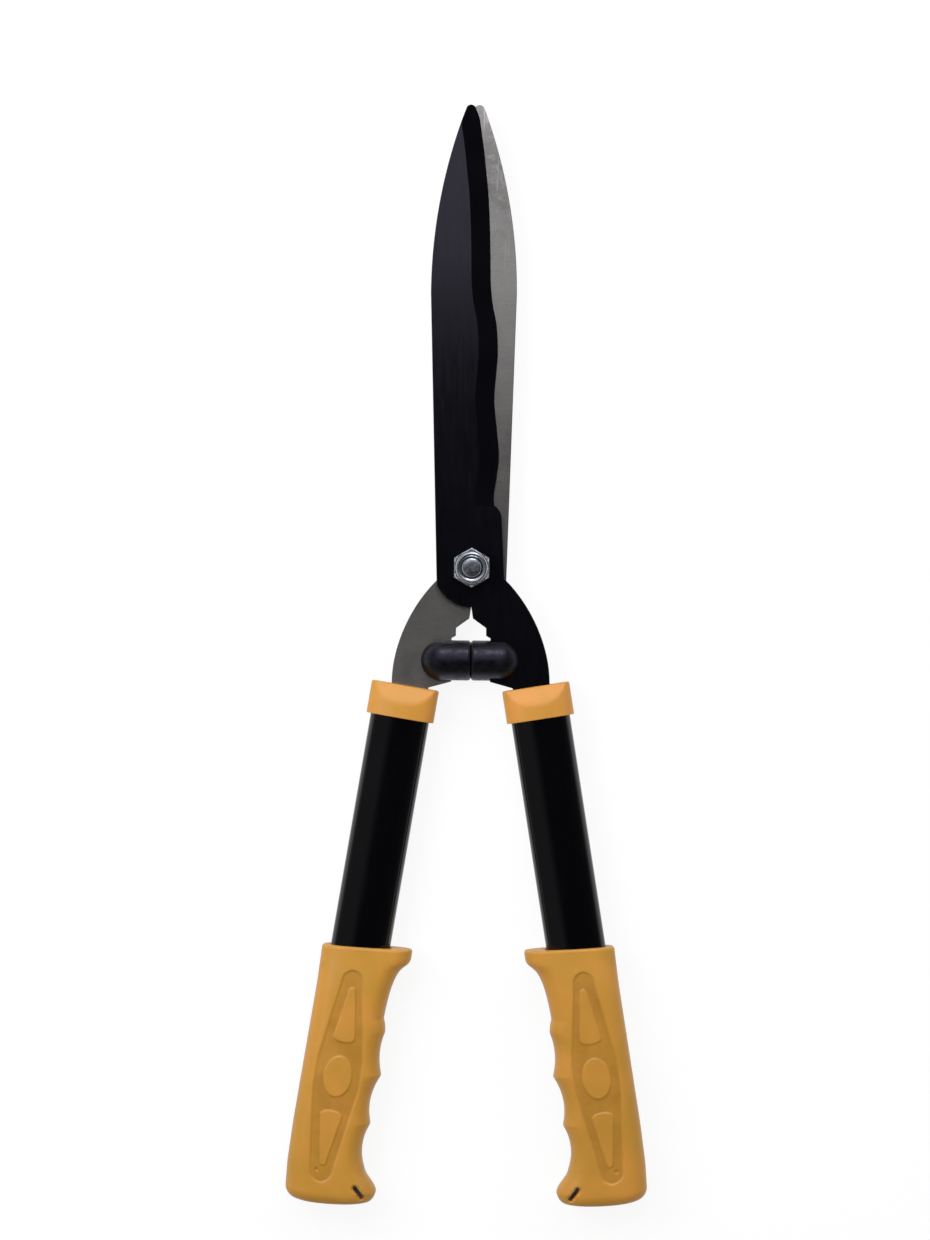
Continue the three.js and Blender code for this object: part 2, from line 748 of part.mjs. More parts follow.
// Finishes
const finishes = {
  coatedSteel: { color: 0x17161c, roughness: 0.45, metalness: 0.3 },
  groundSteel: { color: 0x8a8884, roughness: 0.4, metalness: 0.8 },
  zinc: { color: 0xb9bcc4, roughness: 0.3, metalness: 0.9 },
  nylon: { color: 0x4a4d55, roughness: 0.6, metalness: 0 },
  rubber: { color: 0x1b1a20, roughness: 0.75, metalness: 0 },
  paint: { color: 0x0b0b0e, roughness: 0.2, metalness: 0.1 },
  plug: { color: 0x202024, roughness: 0.6, metalness: 0 },
  plastic: { color: 0xd59a3e, roughness: 0.5, metalness: 0 },
};

function piece(name, form, finish) {
  const mesh = new THREE.Mesh(form, new THREE.MeshStandardMaterial(finishes[finish]));
  mesh.name = name;
  return mesh;
}

const forms = {
  blade: geometryOf(blade()),
  bumper: geometryOf(bumper()),
  collar: geometryOf(collar()),
  tube: geometryOf(tube()),
  plug: geometryOf(tangPlug()),
  pin: geometryOf(tangPin()),
  grip: geometryOf(grip()),
};

// One half: a blade, and the handle that its tang goes into.
function half(bladeName, side, bladeFinish) {
  const handle = new THREE.Group();
  handle.position.x = handleFoot;
  handle.rotation.z = handleSpread;
  handle.add(
    piece(`${side}_collar`, forms.collar, "plastic"),
    piece(`${side}_tube`, forms.tube, "paint"),
    piece(`${side}_tang_plug`, forms.plug, "plug"),
    piece(`${side}_tang_pin`, forms.pin, "zinc"),
    piece(`${side}_grip`, forms.grip, "plastic"),
  );
  const group = new THREE.Group();
  group.position.z = matingPlane;
  group.add(
    piece(bladeName, forms.blade, bladeFinish),
    piece(`${side}_bumper`, forms.bumper, "rubber"),
    handle,
  );
  return group;
}

const frontHalf = half("front_blade", "right", "coatedSteel");
const rearHalf = half("rear_blade", "left", "groundSteel");
rearHalf.rotation.y = Math.PI;

const shears = new THREE.Group();
shears.add(
  frontHalf,
  rearHalf,
  piece("pivot_bolt", geometryOf(pivotBolt()), "zinc"),
  piece("head_washer", geometryOf(washer()), "zinc"),
  piece("pivot_lock_nut", geometryOf(lockNut()), "zinc"),
  piece("nut_nylon_ring", geometryOf(nylonRing()), "nylon"),
);

export default shears;
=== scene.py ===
"""Hedge shears: the looks of the two blades, the pivot, the bumpers, the handles and the grips."""

import math
from functools import partial

import bmesh
import bpy
import numpy as np
from bpy.props import FloatProperty, FloatVectorProperty, PointerProperty
from mathutils import Matrix, Vector
from mathutils.geometry import delaunay_2d_cdt


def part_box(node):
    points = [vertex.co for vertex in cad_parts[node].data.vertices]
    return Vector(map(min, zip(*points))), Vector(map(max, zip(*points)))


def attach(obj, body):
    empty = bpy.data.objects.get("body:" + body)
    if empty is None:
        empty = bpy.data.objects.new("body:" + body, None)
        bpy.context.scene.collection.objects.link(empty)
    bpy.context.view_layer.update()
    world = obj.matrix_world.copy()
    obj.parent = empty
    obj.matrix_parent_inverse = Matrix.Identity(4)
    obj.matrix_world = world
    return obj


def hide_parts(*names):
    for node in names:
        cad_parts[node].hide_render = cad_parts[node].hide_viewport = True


bl_info = {
    "name": "Hedge Shears",
    "version": (1, 0, 0),
    "blender": (4, 5, 0),
    "location": "3D View > Sidebar > Shears",
    "description": "Builds a pair of hedge shears with moulded finger grips",
    "category": "Add Mesh",
}

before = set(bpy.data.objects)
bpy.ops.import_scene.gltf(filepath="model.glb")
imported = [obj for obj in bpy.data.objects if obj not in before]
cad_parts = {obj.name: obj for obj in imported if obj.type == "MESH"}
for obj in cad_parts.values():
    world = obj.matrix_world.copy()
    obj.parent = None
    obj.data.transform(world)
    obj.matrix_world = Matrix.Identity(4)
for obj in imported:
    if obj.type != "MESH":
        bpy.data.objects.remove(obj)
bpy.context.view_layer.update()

MM = 0.001
DEGREE = math.pi / 180
RIGHT, LEFT = 1, -1
SIDES = (("right", RIGHT, "front_half"), ("left", LEFT, "rear_half"))

# The stack on the bolt, from the frame
FRONT_LOW, FRONT_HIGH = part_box("front_blade")
REAR_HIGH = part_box("rear_blade")[1]
MATING_PLANE = (FRONT_LOW.z + REAR_HIGH.z) / 2
PLATE_INNER = FRONT_LOW.z - MATING_PLANE
PLATE_OUTER = FRONT_HIGH.z - MATING_PLANE
NUT_LOW, NUT_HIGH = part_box("pivot_lock_nut")
WASHER_LOW, WASHER_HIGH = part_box("head_washer")
BOLT_LOW, BOLT_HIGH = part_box("pivot_bolt")
NYLON_LOW, NYLON_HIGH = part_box("nut_nylon_ring")
BLADE_LENGTH = FRONT_HIGH.y
FIT_GAP = 0.3 * MM
HOLE_RADIUS = 5.3 * MM
PIN_HOLE_RADIUS = 2.3 * MM

# Handles: their axes leave the pivot's cross line at HANDLE_FOOT and spread by HANDLE_SPREAD
HANDLE_FOOT = 22.4 * MM
HANDLE_SPREAD = 9.3 * DEGREE
OVAL_POWER = 2.4
HALF_TUBE = 14.5 * MM
TUBE_SOCKET = (14.8 * MM, 8.3 * MM)
PIN_AT = 70.5 * MM

# Bumpers
BUMPER_AT = 45.3 * MM
BUMPER_RADIUS = 9.85 * MM
BUMPER_LENGTH = 24.4 * MM

# Distances along the handle
COLLAR_TOP = 58.5 * MM
COLLAR_END = 74.6 * MM
TUBE_TOP = 66.5 * MM
GRIP_TOP = 188.0 * MM
GRIP_END = 314.4 * MM
GRIP_LENGTH = GRIP_END - GRIP_TOP
TUBE_END = 285.6 * MM
TANG_MOUTH = 57.7 * MM
TANG_END = 118.0 * MM

# Cutting edge, from the ledge to the tip: how far along, and how far out as a share of the belly
EDGE_WAVE = [
    (0.025, 0.505), (0.076, 0.572), (0.127, 0.613), (0.19, 0.561), (0.266, 0.496), (0.342, 0.543),
    (0.392, 0.567), (0.456, 0.533), (0.506, 0.444), (0.557, 0.392), (0.633, 0.377), (0.709, 0.358),
    (0.785, 0.319), (0.848, 0.259), (0.899, 0.208), (0.944, 0.148), (0.98, 0.094),
]
SPINE_AT_BELLY = 21.05 * MM
SPINE_AT_PIVOT = 17 * MM
BELLY_AT = 134 * MM
TIP_RADIUS = 2.5 * MM
TIP_OFFSET = 2.05 * MM
BOSS_RADIUS = 19.1 * MM
LEDGE_AT = 30.9 * MM
EDGE_AT_LEDGE = 10.9 * MM

# Finger side of the grip, as shares of its length and of the horn's height
HORN_HEIGHT = 10.3 * MM
GRIP_POWER = 2.8
FINGER_CURVES = [
    [(0.036, 1.07), (0.088, 0.98), (0.03, 0.33), (0.273, 0.274)],
    [(0.273, 0.274), (0.3, 0.42), (0.324, 0.448)],
    [(0.324, 0.448), (0.4075, 0.199), (0.491, 0.61)],
    [(0.491, 0.61), (0.5855, 0.0525), (0.68, 0.495)],
    [(0.68, 0.495), (0.766, 0.057), (0.853, 0.56)],
    [(0.853, 0.56), (0.889, 0.67), (0.912, 1.16), (0.95, 1.3)],
    [(0.95, 1.3), (1.0, 1.24)],
]


# Numbers and points

def linear(code):
    """An sRGB hex colour as linear red, green, blue and alpha."""
    parts = [int(code[i:i + 2], 16) / 255 for i in (1, 3, 5)]
    return (*(p / 12.92 if p <= 0.04045 else ((p + 0.055) / 1.055) ** 2.4 for p in parts), 1.0)


def smoothstep(low, high, value):
    """A share from 0 to 1 that starts and ends level."""
    share = np.clip((value - low) / (high - low), 0, 1)
    return share * share * (3 - 2 * share)


def bezier(points, steps):
    """A curve through any number of control points, with its last point."""
    t = np.linspace(0, 1, steps + 1)[:, None]
    level = [np.asarray(p, float) + 0 * t for p in points]
    while len(level) > 1:
        level = [a * (1 - t) + b * t for a, b in zip(level, level[1:])]
    return level[0]


def arc(centre, radius, start, end, steps):
    """Points of an arc, with both its ends."""
    turn = np.linspace(start, end, steps + 1)
    return np.column_stack((centre[0] + radius * np.cos(turn), centre[1] + radius * np.sin(turn)))


def polar(radius, turn):
    """A point at that turn on a circle round the middle."""
    return radius * np.array((math.cos(turn), math.sin(turn)))


def catmull_rom(points, steps):
    """A smooth line through the points, with the given steps between each two."""
    points = np.asarray(points, float)
    padded = np.vstack((points[:1], points, points[-1:]))
    made = []
    for a, b, c, d in zip(padded, padded[1:], padded[2:], padded[3:]):
        t = np.linspace(0, 1, steps, endpoint=False)[:, None]
        start, end = (c - a) / 2, (d - b) / 2
        made.append(
            (2 * b - 2 * c + start + end) * t ** 3
            + (3 * c - 3 * b - 2 * start - end) * t ** 2 + start * t + b
        )
    return np.vstack((*made, points[-1:]))


def signed_distance(points, outline):
    """How far each point lies inside a closed outline. Outside it is negative."""
    points, start = np.asarray(points, float), np.asarray(outline, float)
    end = np.roll(start, -1, axis=0)
    best = np.full(len(points), np.inf)
    inside = np.zeros(len(points), bool)
    for a, b in zip(start, end):
        step, offset = b - a, points - a
        share = np.clip(offset @ step / max(step @ step, 1e-18), 0, 1)
        away = offset - share[:, None] * step
        best = np.minimum(best, (away ** 2).sum(1))
        if a[1] != b[1]:
            crosses = (a[1] > points[:, 1]) != (b[1] > points[:, 1])
            at = a[0] + (points[:, 1] - a[1]) * step[0] / step[1]
            inside ^= crosses & (points[:, 0] < at)
    return np.where(inside, 1, -1) * np.sqrt(best)


def drawn_in(outline, distance):
    """The outline moved inward. It runs anticlockwise, and distance may differ point by point."""
    before, after = np.roll(outline, 1, axis=0), np.roll(outline, -1, axis=0)
    first, second = outline - before, after - outline
    first /= np.linalg.norm(first, axis=1)[:, None]
    second /= np.linalg.norm(second, axis=1)[:, None]
    normals = np.column_stack((-(first + second)[:, 1], (first + second)[:, 0]))
    normals /= np.linalg.norm(normals, axis=1)[:, None]
    lean = normals[:, 0] * -first[:, 1] + normals[:, 1] * first[:, 0]
    return outline + normals * (distance / np.maximum(lean, 0.6))[:, None]


def soft_least(value, limit, blend):
    """The smaller of two, rounded over where they meet."""
    share = np.clip(0.5 + 0.5 * (value - limit) / blend, 0, 1)
    return value * (1 - share) + limit * share - blend * share * (1 - share)


def oval(half_width, half_depth, power, turn):
    """Points of an oval whose sides are fuller than an ellipse's."""
    def bend(value):
        return np.sign(value) * np.abs(value) ** (2 / power)
    return half_width * bend(np.cos(turn)), half_depth * bend(np.sin(turn))


def even_turns(half_width, half_depth, power, count):
    """Turns round an oval that lie evenly along its outline."""
    turn = np.linspace(0, 2 * math.pi, 20001)
    x, y = oval(half_width, half_depth, power, turn)
    run = np.concatenate(([0], np.cumsum(np.hypot(np.diff(x), np.diff(y)))))
    return np.interp(np.arange(count) * run[-1] / count, run, turn)


def from_handle(points):
    """Points of one handle's frame, where Y points up its axis, in the frame of its half."""
    points = np.asarray(points, float)
    leaned = points.copy()
    c, s = math.cos(HANDLE_SPREAD), math.sin(HANDLE_SPREAD)
    leaned[:, 0] = HANDLE_FOOT + points[:, 0] * c - points[:, 1] * s
    leaned[:, 1] = points[:, 0] * s + points[:, 1] * c
    return leaned


def in_place(points, side):
    """Points of one half in the whole shears' frame. The left half is the right one turned over."""
    return np.asarray(points, float) * (side, 1, side) + (0, 0, MATING_PLANE)


# Meshes

def make_piece(name, points, faces, materials=(), face_slots=None, smooth_below=30 * DEGREE):
    """A mesh object with outward faces, shaded smooth where two meet at less than an angle."""
    mesh = bpy.data.meshes.new(name)
    mesh.from_pydata([tuple(p) for p in points], [], faces)
    for material in materials:
        mesh.materials.append(material)
    if face_slots is not None:
        mesh.polygons.foreach_set("material_index", np.asarray(face_slots, np.int32))
    obj = bpy.data.objects.new(name, mesh)
    bpy.context.scene.collection.objects.link(obj)
    tidy_mesh(obj, smooth_below)
    return obj


def tidy_mesh(obj, smooth_below=30 * DEGREE):
    """Merges doubles, turns the faces outward and marks the sharp edges."""
    mesh = obj.data
    work = bmesh.new()
    work.from_mesh(mesh)
    bmesh.ops.remove_doubles(work, verts=work.verts, dist=1e-7)
    bmesh.ops.recalc_face_normals(work, faces=work.faces)
    work.to_mesh(mesh)
    work.free()
    mesh.shade_smooth()
    mesh.set_sharp_from_angle(angle=smooth_below)


def settle(obj):
    """Turns what the modifiers make into the object's own plain mesh."""
    graph = bpy.context.evaluated_depsgraph_get()
    mesh = bpy.data.meshes.new_from_object(obj.evaluated_get(graph), depsgraph=graph)
    obj.modifiers.clear()
    old, obj.data = obj.data, mesh
    bpy.data.meshes.remove(old)
    mesh.name = obj.name


def carve(obj, shape, smooth_below=30 * DEGREE):
    """Cuts a closed shape, given as points and faces, out of a piece."""
    cutter = make_piece("cutter", *shape)
    cut = obj.modifiers.new("cut", "BOOLEAN")
    cut.operation = "DIFFERENCE"
    cut.solver = "MANIFOLD"
    cut.object = cutter
    settle(obj)
    bpy.data.objects.remove(cutter)
    if not obj.data.polygons:
        raise RuntimeError(f"{obj.name} was cut away")
    tidy_mesh(obj, smooth_below)


def on_handle(shape, side):
    """Points and faces of a shape in a handle's frame, brought to the whole shears' frame."""
    points, faces = shape
    return in_place(from_handle(points), side), faces


def skin(rings):
    """Points and faces of a closed form through rings with equal numbers of points."""
    rings = np.asarray(rings, float)
    count, size = rings.shape[:2]
    points = np.vstack((rings.reshape(-1, 3), rings[0].mean(0), rings[-1].mean(0)))
    faces, last = [], (count - 1) * size
    for j in range(size):
        k = (j + 1) % size
        faces += [(i + j, i + k, i + size + k, i + size + j) for i in range(0, last, size)]
        faces += [(count * size, k, j), (count * size + 1, last + j, last + k)]
    return points, faces


def prism(outline, low, high):
    """Points and faces of a flat outline, thickened from one height to another."""
    count = len(outline)
    points = [(*p[:2], z) for z in (low, high) for p in outline]
    faces = [(i, (i + 1) % count, count + (i + 1) % count, count + i) for i in range(count)]
    return points, faces + [tuple(range(count))[::-1], tuple(range(count, 2 * count))]


def turned(profile, steps):
    """Rings of a shape spun round Z, from a profile of radius and height."""
    return spun_on(np.linspace(0, 2 * math.pi, steps, endpoint=False), profile)


def spun_on(turns, profile):
    """Rings of a spun profile with points at the given turns."""
    x, y = np.cos(turns), np.sin(turns)
    return [np.column_stack((r * x, r * y, z + 0 * turns)) for r, z in profile]


def closed_band(rings):
    """Points and faces of rings whose last joins the first, as in a washer."""
    rings = np.asarray(rings, float)
    count, size = rings.shape[:2]
    faces = []
    for i in range(count):
        for j in range(size):
            k, below, above = (j + 1) % size, i * size, (i + 1) % count * size
            faces.append((below + j, below + k, above + k, above + j))
    return rings.reshape(-1, 3), faces


def dress(obj, body, node):
    """Puts a finished piece on its body in place of the CAD node, and hides the node."""
    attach(obj, body)
    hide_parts(node)


def refinish(node, material):
    """Gives a CAD node that is kept as it is a better finish."""
    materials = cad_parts[node].data.materials
    materials.clear()
    materials.append(material)


# Node trees

def feed(tree, node, inputs):
    """Sets inputs: each to a value, the socket that feeds it, or a node whose first output does."""
    for key, value in inputs.items():
        if isinstance(value, bpy.types.Node):
            value = value.outputs[0]
        if isinstance(value, bpy.types.NodeSocket):
            tree.links.new(value, node.inputs[key])
        else:
            node.inputs[key].default_value = value


def add_node(tree, kind, inputs=None, stops=(), **settings):
    """Adds a node with its settings, its inputs and, where it is a ramp, its stops."""
    node = tree.nodes.new(kind)
    for name, value in settings.items():
        setattr(node, name, value)
    feed(tree, node, inputs or {})
    if stops:
        elements = node.color_ramp.elements
        elements[0].position, elements[1].position = stops[0][0], stops[-1][0]
        for position, _ in stops[1:-1]:
            elements.new(position)
        for element, (_, colour) in zip(elements, stops):
            element.color = colour
    return node


def new_material(name, sockets):
    """A material with one Principled BSDF, what adds a node to it, and what feeds its shader."""
    material = bpy.data.materials.new(name)
    material.use_nodes = True
    tree = material.node_tree
    shader = tree.nodes["Principled BSDF"]
    feed(tree, shader, sockets)
    return material, partial(add_node, tree), partial(feed, tree, shader)


def per(size):
    """The texture scale at which a pattern's features are that far apart, in metres."""
    return 1 / size


def toned(colour, *shares):
    """The colour with red, green and blue scaled, by one share or by three."""
    shares = shares if len(shares) == 3 else shares * 3
    return (*(min(c * share, 1) for c, share in zip(colour, shares)), 1)


# Materials

def nonstick_coating(colour):
    """Baked non-stick coating on steel plate."""
    # Sprayed and baked: a satin blue-black skin with faint orange peel and dull scuffs from twigs.
    material, node, finish = new_material("nonstick_coating", {"Specular Tint": linear("#F2EBFF")})
    at = node("ShaderNodeTexCoord").outputs["Object"]
    drift = node("ShaderNodeTexNoise", {"Vector": at, "Scale": per(24 * MM), "Detail": 3.0})
    tones = [(0.35, toned(colour, 0.75)), (0.7, toned(colour, 1.3))]
    tint = node("ShaderNodeValToRGB", {"Fac": drift}, tones)
    long_way = node("ShaderNodeMapping", {"Vector": at, "Scale": (1.0, 0.12, 1.0)})
    scuffs = node(
        "ShaderNodeTexNoise",
        {"Vector": long_way, "Scale": per(2.2 * MM), "Detail": 4.0, "Roughness": 0.6},
    )
    gloss = node(
        "ShaderNodeMapRange",
        {"Value": scuffs, "From Min": 0.35, "From Max": 0.75, "To Min": 0.13, "To Max": 0.19},
    )
    # The real peel is about 0.4 mm across. It is drawn at 1 mm so that it shows.
    peel = node("ShaderNodeTexNoise", {"Vector": at, "Scale": per(1.0 * MM), "Detail": 1.0})
    bump = node("ShaderNodeBump", {"Height": peel, "Strength": 0.12, "Distance": 0.02 * MM})
    finish({"Base Color": tint, "Roughness": gloss, "Normal": bump})
    return material


def ground_steel(colour):
    """Ground high carbon steel, uncoated."""
    # Ground flat across the blade: a grey sheen of fine lines. Its tone along the blade is painted
    # light: a painted highlight toward the tip and painted shade near the pivot.
    material, node, finish = new_material("ground_steel", {"Metallic": 1.0})
    at = node("ShaderNodeTexCoord").outputs["Object"]
    along = node("ShaderNodeSeparateXYZ", {"Vector": at}).outputs["Y"]
    blotches = node(
        "ShaderNodeTexNoise",
        {"Vector": at, "Scale": per(11 * MM), "Detail": 5.0, "Roughness": 0.6},
    )
    ragged = node("ShaderNodeMath", {0: blotches, 1: 60 * MM, 2: along}, operation="MULTIPLY_ADD")
    length = node(
        "ShaderNodeMapRange", {"Value": ragged, "From Min": -80 * MM, "From Max": 260 * MM},
    )
    # These levels along the blade are painted light and shade, not a finish of the steel.
    levels = [
        (0.0, 1.0), (0.2, 1.0), (0.32, 0.78), (0.45, 0.68), (0.6, 0.95), (0.74, 1.2), (0.82, 1.08),
        (0.9, 0.85), (1.0, 1.45),
    ]
    tones = [(share, toned(colour, level)) for share, level in levels]
    painted_light_along = node("ShaderNodeValToRGB", {"Fac": length}, tones)
    # Grinding lines are about 0.1 mm apart. They are drawn at 0.7 mm so that they show.
    across = node(
        "ShaderNodeMapping",
        {"Vector": at, "Scale": (0.06, 1.0, 1.0), "Rotation": (0, 0, 8 * DEGREE)},
    )
    lines = node("ShaderNodeTexNoise", {"Vector": across, "Scale": per(0.7 * MM), "Detail": 2.0})
    specks = node("ShaderNodeTexNoise", {"Vector": at, "Scale": per(1.3 * MM), "Detail": 2.0})
    spots = node(
        "ShaderNodeMapRange",
        {"Value": specks, "From Min": 0.62, "From Max": 0.74, "To Min": 1.0, "To Max": 0.82},
    )
    shade = node(
        "ShaderNodeMapRange",
        {"Value": lines, "From Min": 0.3, "From Max": 0.7, "To Min": 0.95, "To Max": 1.05},
    )
    both = node("ShaderNodeMath", {0: spots, 1: shade}, operation="MULTIPLY")
    clean = node(
        "ShaderNodeMix", {0: 1.0, 6: painted_light_along, 7: both}, data_type="RGBA", blend_type="MULTIPLY",
    )
    # Toward the tip the other blade has rubbed pale patches and fine slanting scratches into it.
    near_tip = node(
        "ShaderNodeMapRange", {"Value": ragged, "From Min": 165 * MM, "From Max": 255 * MM},
    )
    slanted = node(
        "ShaderNodeMapping",
        {"Vector": at, "Scale": (1.0, 0.07, 1.0), "Rotation": (0, 0, -52 * DEGREE)},
    )
    hairs = node("ShaderNodeTexNoise", {"Vector": slanted, "Scale": per(1.6 * MM), "Detail": 2.0})
    scratches = node(
        "ShaderNodeMapRange", {"Value": hairs, "From Min": 0.62, "From Max": 0.68, "To Max": 0.7},
    )
    patchy = node(
        "ShaderNodeTexNoise",
        {"Vector": at, "Scale": per(4 * MM), "Detail": 6.0, "Roughness": 0.75},
    )
    patches = node(
        "ShaderNodeMapRange", {"Value": patchy, "From Min": 0.5, "From Max": 0.66, "To Max": 0.6},
    )
    marks = node("ShaderNodeMath", {0: scratches, 1: patches}, operation="MAXIMUM")
    worn = node("ShaderNodeMath", {0: marks, 1: near_tip}, operation="MULTIPLY")
    bright = linear("#EFEFEB")
    face = node("ShaderNodeMix", {0: worn, 6: clean.outputs[2], 7: bright}, data_type="RGBA")
    gloss = node(
        "ShaderNodeMapRange",
        {"Value": blotches, "From Min": 0.3, "From Max": 0.7, "To Min": 0.3, "To Max": 0.42},
    )
    bump = node("ShaderNodeBump", {"Height": lines, "Strength": 0.25, "Distance": 0.02 * MM})
    finish({"Base Color": face.outputs[2], "Roughness": gloss, "Normal": bump})
    return material


def zinc_plating(colour):
    """Bright zinc plating on turned and pressed steel."""
    # Electroplated: bright with a cold blue tone, slightly cloudy, with small dull handling marks.
    material, node, finish = new_material("zinc_plating", {"Metallic": 1.0})
    at = node("ShaderNodeTexCoord").outputs["Object"]
    clouds = node("ShaderNodeTexNoise", {"Vector": at, "Scale": per(4 * MM), "Detail": 3.0})
    tones = [(0.35, toned(colour, 0.8, 0.84, 0.9)), (0.68, toned(colour, 1.12))]
    tint = node("ShaderNodeValToRGB", {"Fac": clouds}, tones)
    marks = node("ShaderNodeTexNoise", {"Vector": at, "Scale": per(1.6 * MM), "Detail": 2.0})
    gloss = node(
        "ShaderNodeMapRange",
        {"Value": marks, "From Min": 0.35, "From Max": 0.7, "To Min": 0.18, "To Max": 0.3},
    )
    bump = node("ShaderNodeBump", {"Height": marks, "Strength": 0.1, "Distance": 0.02 * MM})
    finish({"Base Color": tint, "Roughness": gloss, "Normal": bump})
    return material


def moulded_rubber(colour):
    """Moulded black rubber."""
    # Pressed in a blasted mould: matt blue-black with a soft mottled sheen and a dusty bloom.
    plain = {"IOR": 1.5, "Specular Tint": linear("#E6E3FF")}
    material, node, finish = new_material("moulded_rubber", plain)
    at = node("ShaderNodeTexCoord").outputs["Object"]
    bloom = node("ShaderNodeTexNoise", {"Vector": at, "Scale": per(2.6 * MM), "Detail": 3.0})
    tones = [(0.35, toned(colour, 0.8)), (0.7, toned(colour, 1.35))]
    tint = node("ShaderNodeValToRGB", {"Fac": bloom}, tones)
    gloss = node(
        "ShaderNodeMapRange",
        {"Value": bloom, "From Min": 0.38, "From Max": 0.62, "To Min": 0.3, "To Max": 0.5},
    )
    # The blasted grain is about 0.2 mm. It is drawn at 0.8 mm so that it shows.
    grain = node("ShaderNodeTexNoise", {"Vector": at, "Scale": per(0.8 * MM), "Detail": 2.0})
    bump = node("ShaderNodeBump", {"Height": grain, "Strength": 0.45, "Distance": 0.06 * MM})
    finish({"Base Color": tint, "Roughness": gloss, "Normal": bump})
    return material


def moulded_polypropylene(colour):
    """Golden yellow injection moulded polypropylene."""
    # Injection moulded in a lightly sparked mould: a soft sheen over fine grain, with slow drifts
    # of tone where the plastic flowed, and browner where dust settles in the recesses.
    material, node, finish = new_material("moulded_polypropylene", {"IOR": 1.49})
    at = node("ShaderNodeTexCoord").outputs["Object"]
    flow = node(
        "ShaderNodeTexNoise",
        {"Vector": at, "Scale": per(26 * MM), "Detail": 2.0, "Distortion": 0.6},
    )
    tones = [(0.35, toned(colour, 0.9, 0.94, 0.85)), (0.68, toned(colour, 1.06, 1.02, 1.15))]
    tint = node("ShaderNodeValToRGB", {"Fac": flow}, tones)
    hollow = node("ShaderNodeAttribute", attribute_name="hollow").outputs["Fac"]
    grime = node("ShaderNodeTexNoise", {"Vector": at, "Scale": per(9 * MM), "Detail": 2.0})
    depth = node("ShaderNodeMath", {0: hollow, 1: grime}, operation="MULTIPLY")
    dust = toned(colour, 0.62, 0.6, 0.45)
    dusty = node("ShaderNodeMix", {0: depth, 6: tint, 7: dust}, data_type="RGBA")
    # The sparked grain is about 0.2 mm. It is drawn at 0.8 mm so that it shows.
    grain = node("ShaderNodeTexNoise", {"Vector": at, "Scale": per(0.8 * MM), "Detail": 2.0})
    gloss = node(
        "ShaderNodeMapRange",
        {"Value": grain, "From Min": 0.3, "From Max": 0.7, "To Min": 0.38, "To Max": 0.5},
    )
    bump = node("ShaderNodeBump", {"Height": grain, "Strength": 0.12, "Distance": 0.04 * MM})
    finish({"Base Color": dusty.outputs[2], "Roughness": gloss, "Normal": bump})
    return material


def stove_enamel(colour):
    """Gloss black stove enamel on rolled steel tube."""
    # Dipped and baked: a deep wet-looking black whose reflections waver along the rolled tube.
    material, node, finish = new_material("stove_enamel", {"IOR": 1.5})
    at = node("ShaderNodeTexCoord").outputs["Object"]
    long_way = node("ShaderNodeMapping", {"Vector": at, "Scale": (1.0, 0.3, 1.0)})
    waver = node("ShaderNodeTexNoise", {"Vector": long_way, "Scale": per(7 * MM), "Detail": 2.0})
    dust = node("ShaderNodeTexNoise", {"Vector": at, "Scale": per(1.1 * MM), "Detail": 3.0})
    tones = [(0.5, toned(colour, 1)), (0.8, toned(colour, 2.5))]
    tint = node("ShaderNodeValToRGB", {"Fac": dust}, tones)
    gloss = node(
        "ShaderNodeMapRange",
        {"Value": waver, "From Min": 0.3, "From Max": 0.7, "To Min": 0.1, "To Max": 0.17},
    )
    bump = node("ShaderNodeBump", {"Height": waver, "Strength": 0.3, "Distance": 0.1 * MM})
    finish({"Base Color": tint, "Roughness": gloss, "Normal": bump})
    return material


def plain_moulding(name, colour, roughness):
    """Plain moulded plastic of the pieces that stay inside the handles and the nut."""
    # Left as it came from the mould: even and dull, with a faint grain, drawn at 0.9 mm.
    material, node, finish = new_material(name, {"IOR": 1.5})
    at = node("ShaderNodeTexCoord").outputs["Object"]
    grain = node("ShaderNodeTexNoise", {"Vector": at, "Scale": per(0.9 * MM), "Detail": 2.0})
    tones = [(0.0, toned(colour, 0.8)), (1.0, toned(colour, 1.25))]
    tint = node("ShaderNodeValToRGB", {"Fac": grain}, tones)
    gloss = node(
        "ShaderNodeMapRange",
        {"Value": grain, "To Min": roughness - 0.08, "To Max": roughness + 0.08},
    )
    finish({"Base Color": tint, "Roughness": gloss})
    return material


# Blades

def cutting_edge():
    """The wavy edge of the front blade, from the ledge to the tip."""
    tip_y = BLADE_LENGTH - TIP_RADIUS
    stretch = tip_y - LEDGE_AT
    waves = [(out * SPINE_AT_BELLY, LEDGE_AT + along * stretch) for along, out in EDGE_WAVE]
    return catmull_rom([(EDGE_AT_LEDGE, LEDGE_AT), *waves, (TIP_RADIUS - TIP_OFFSET, tip_y)], 20)


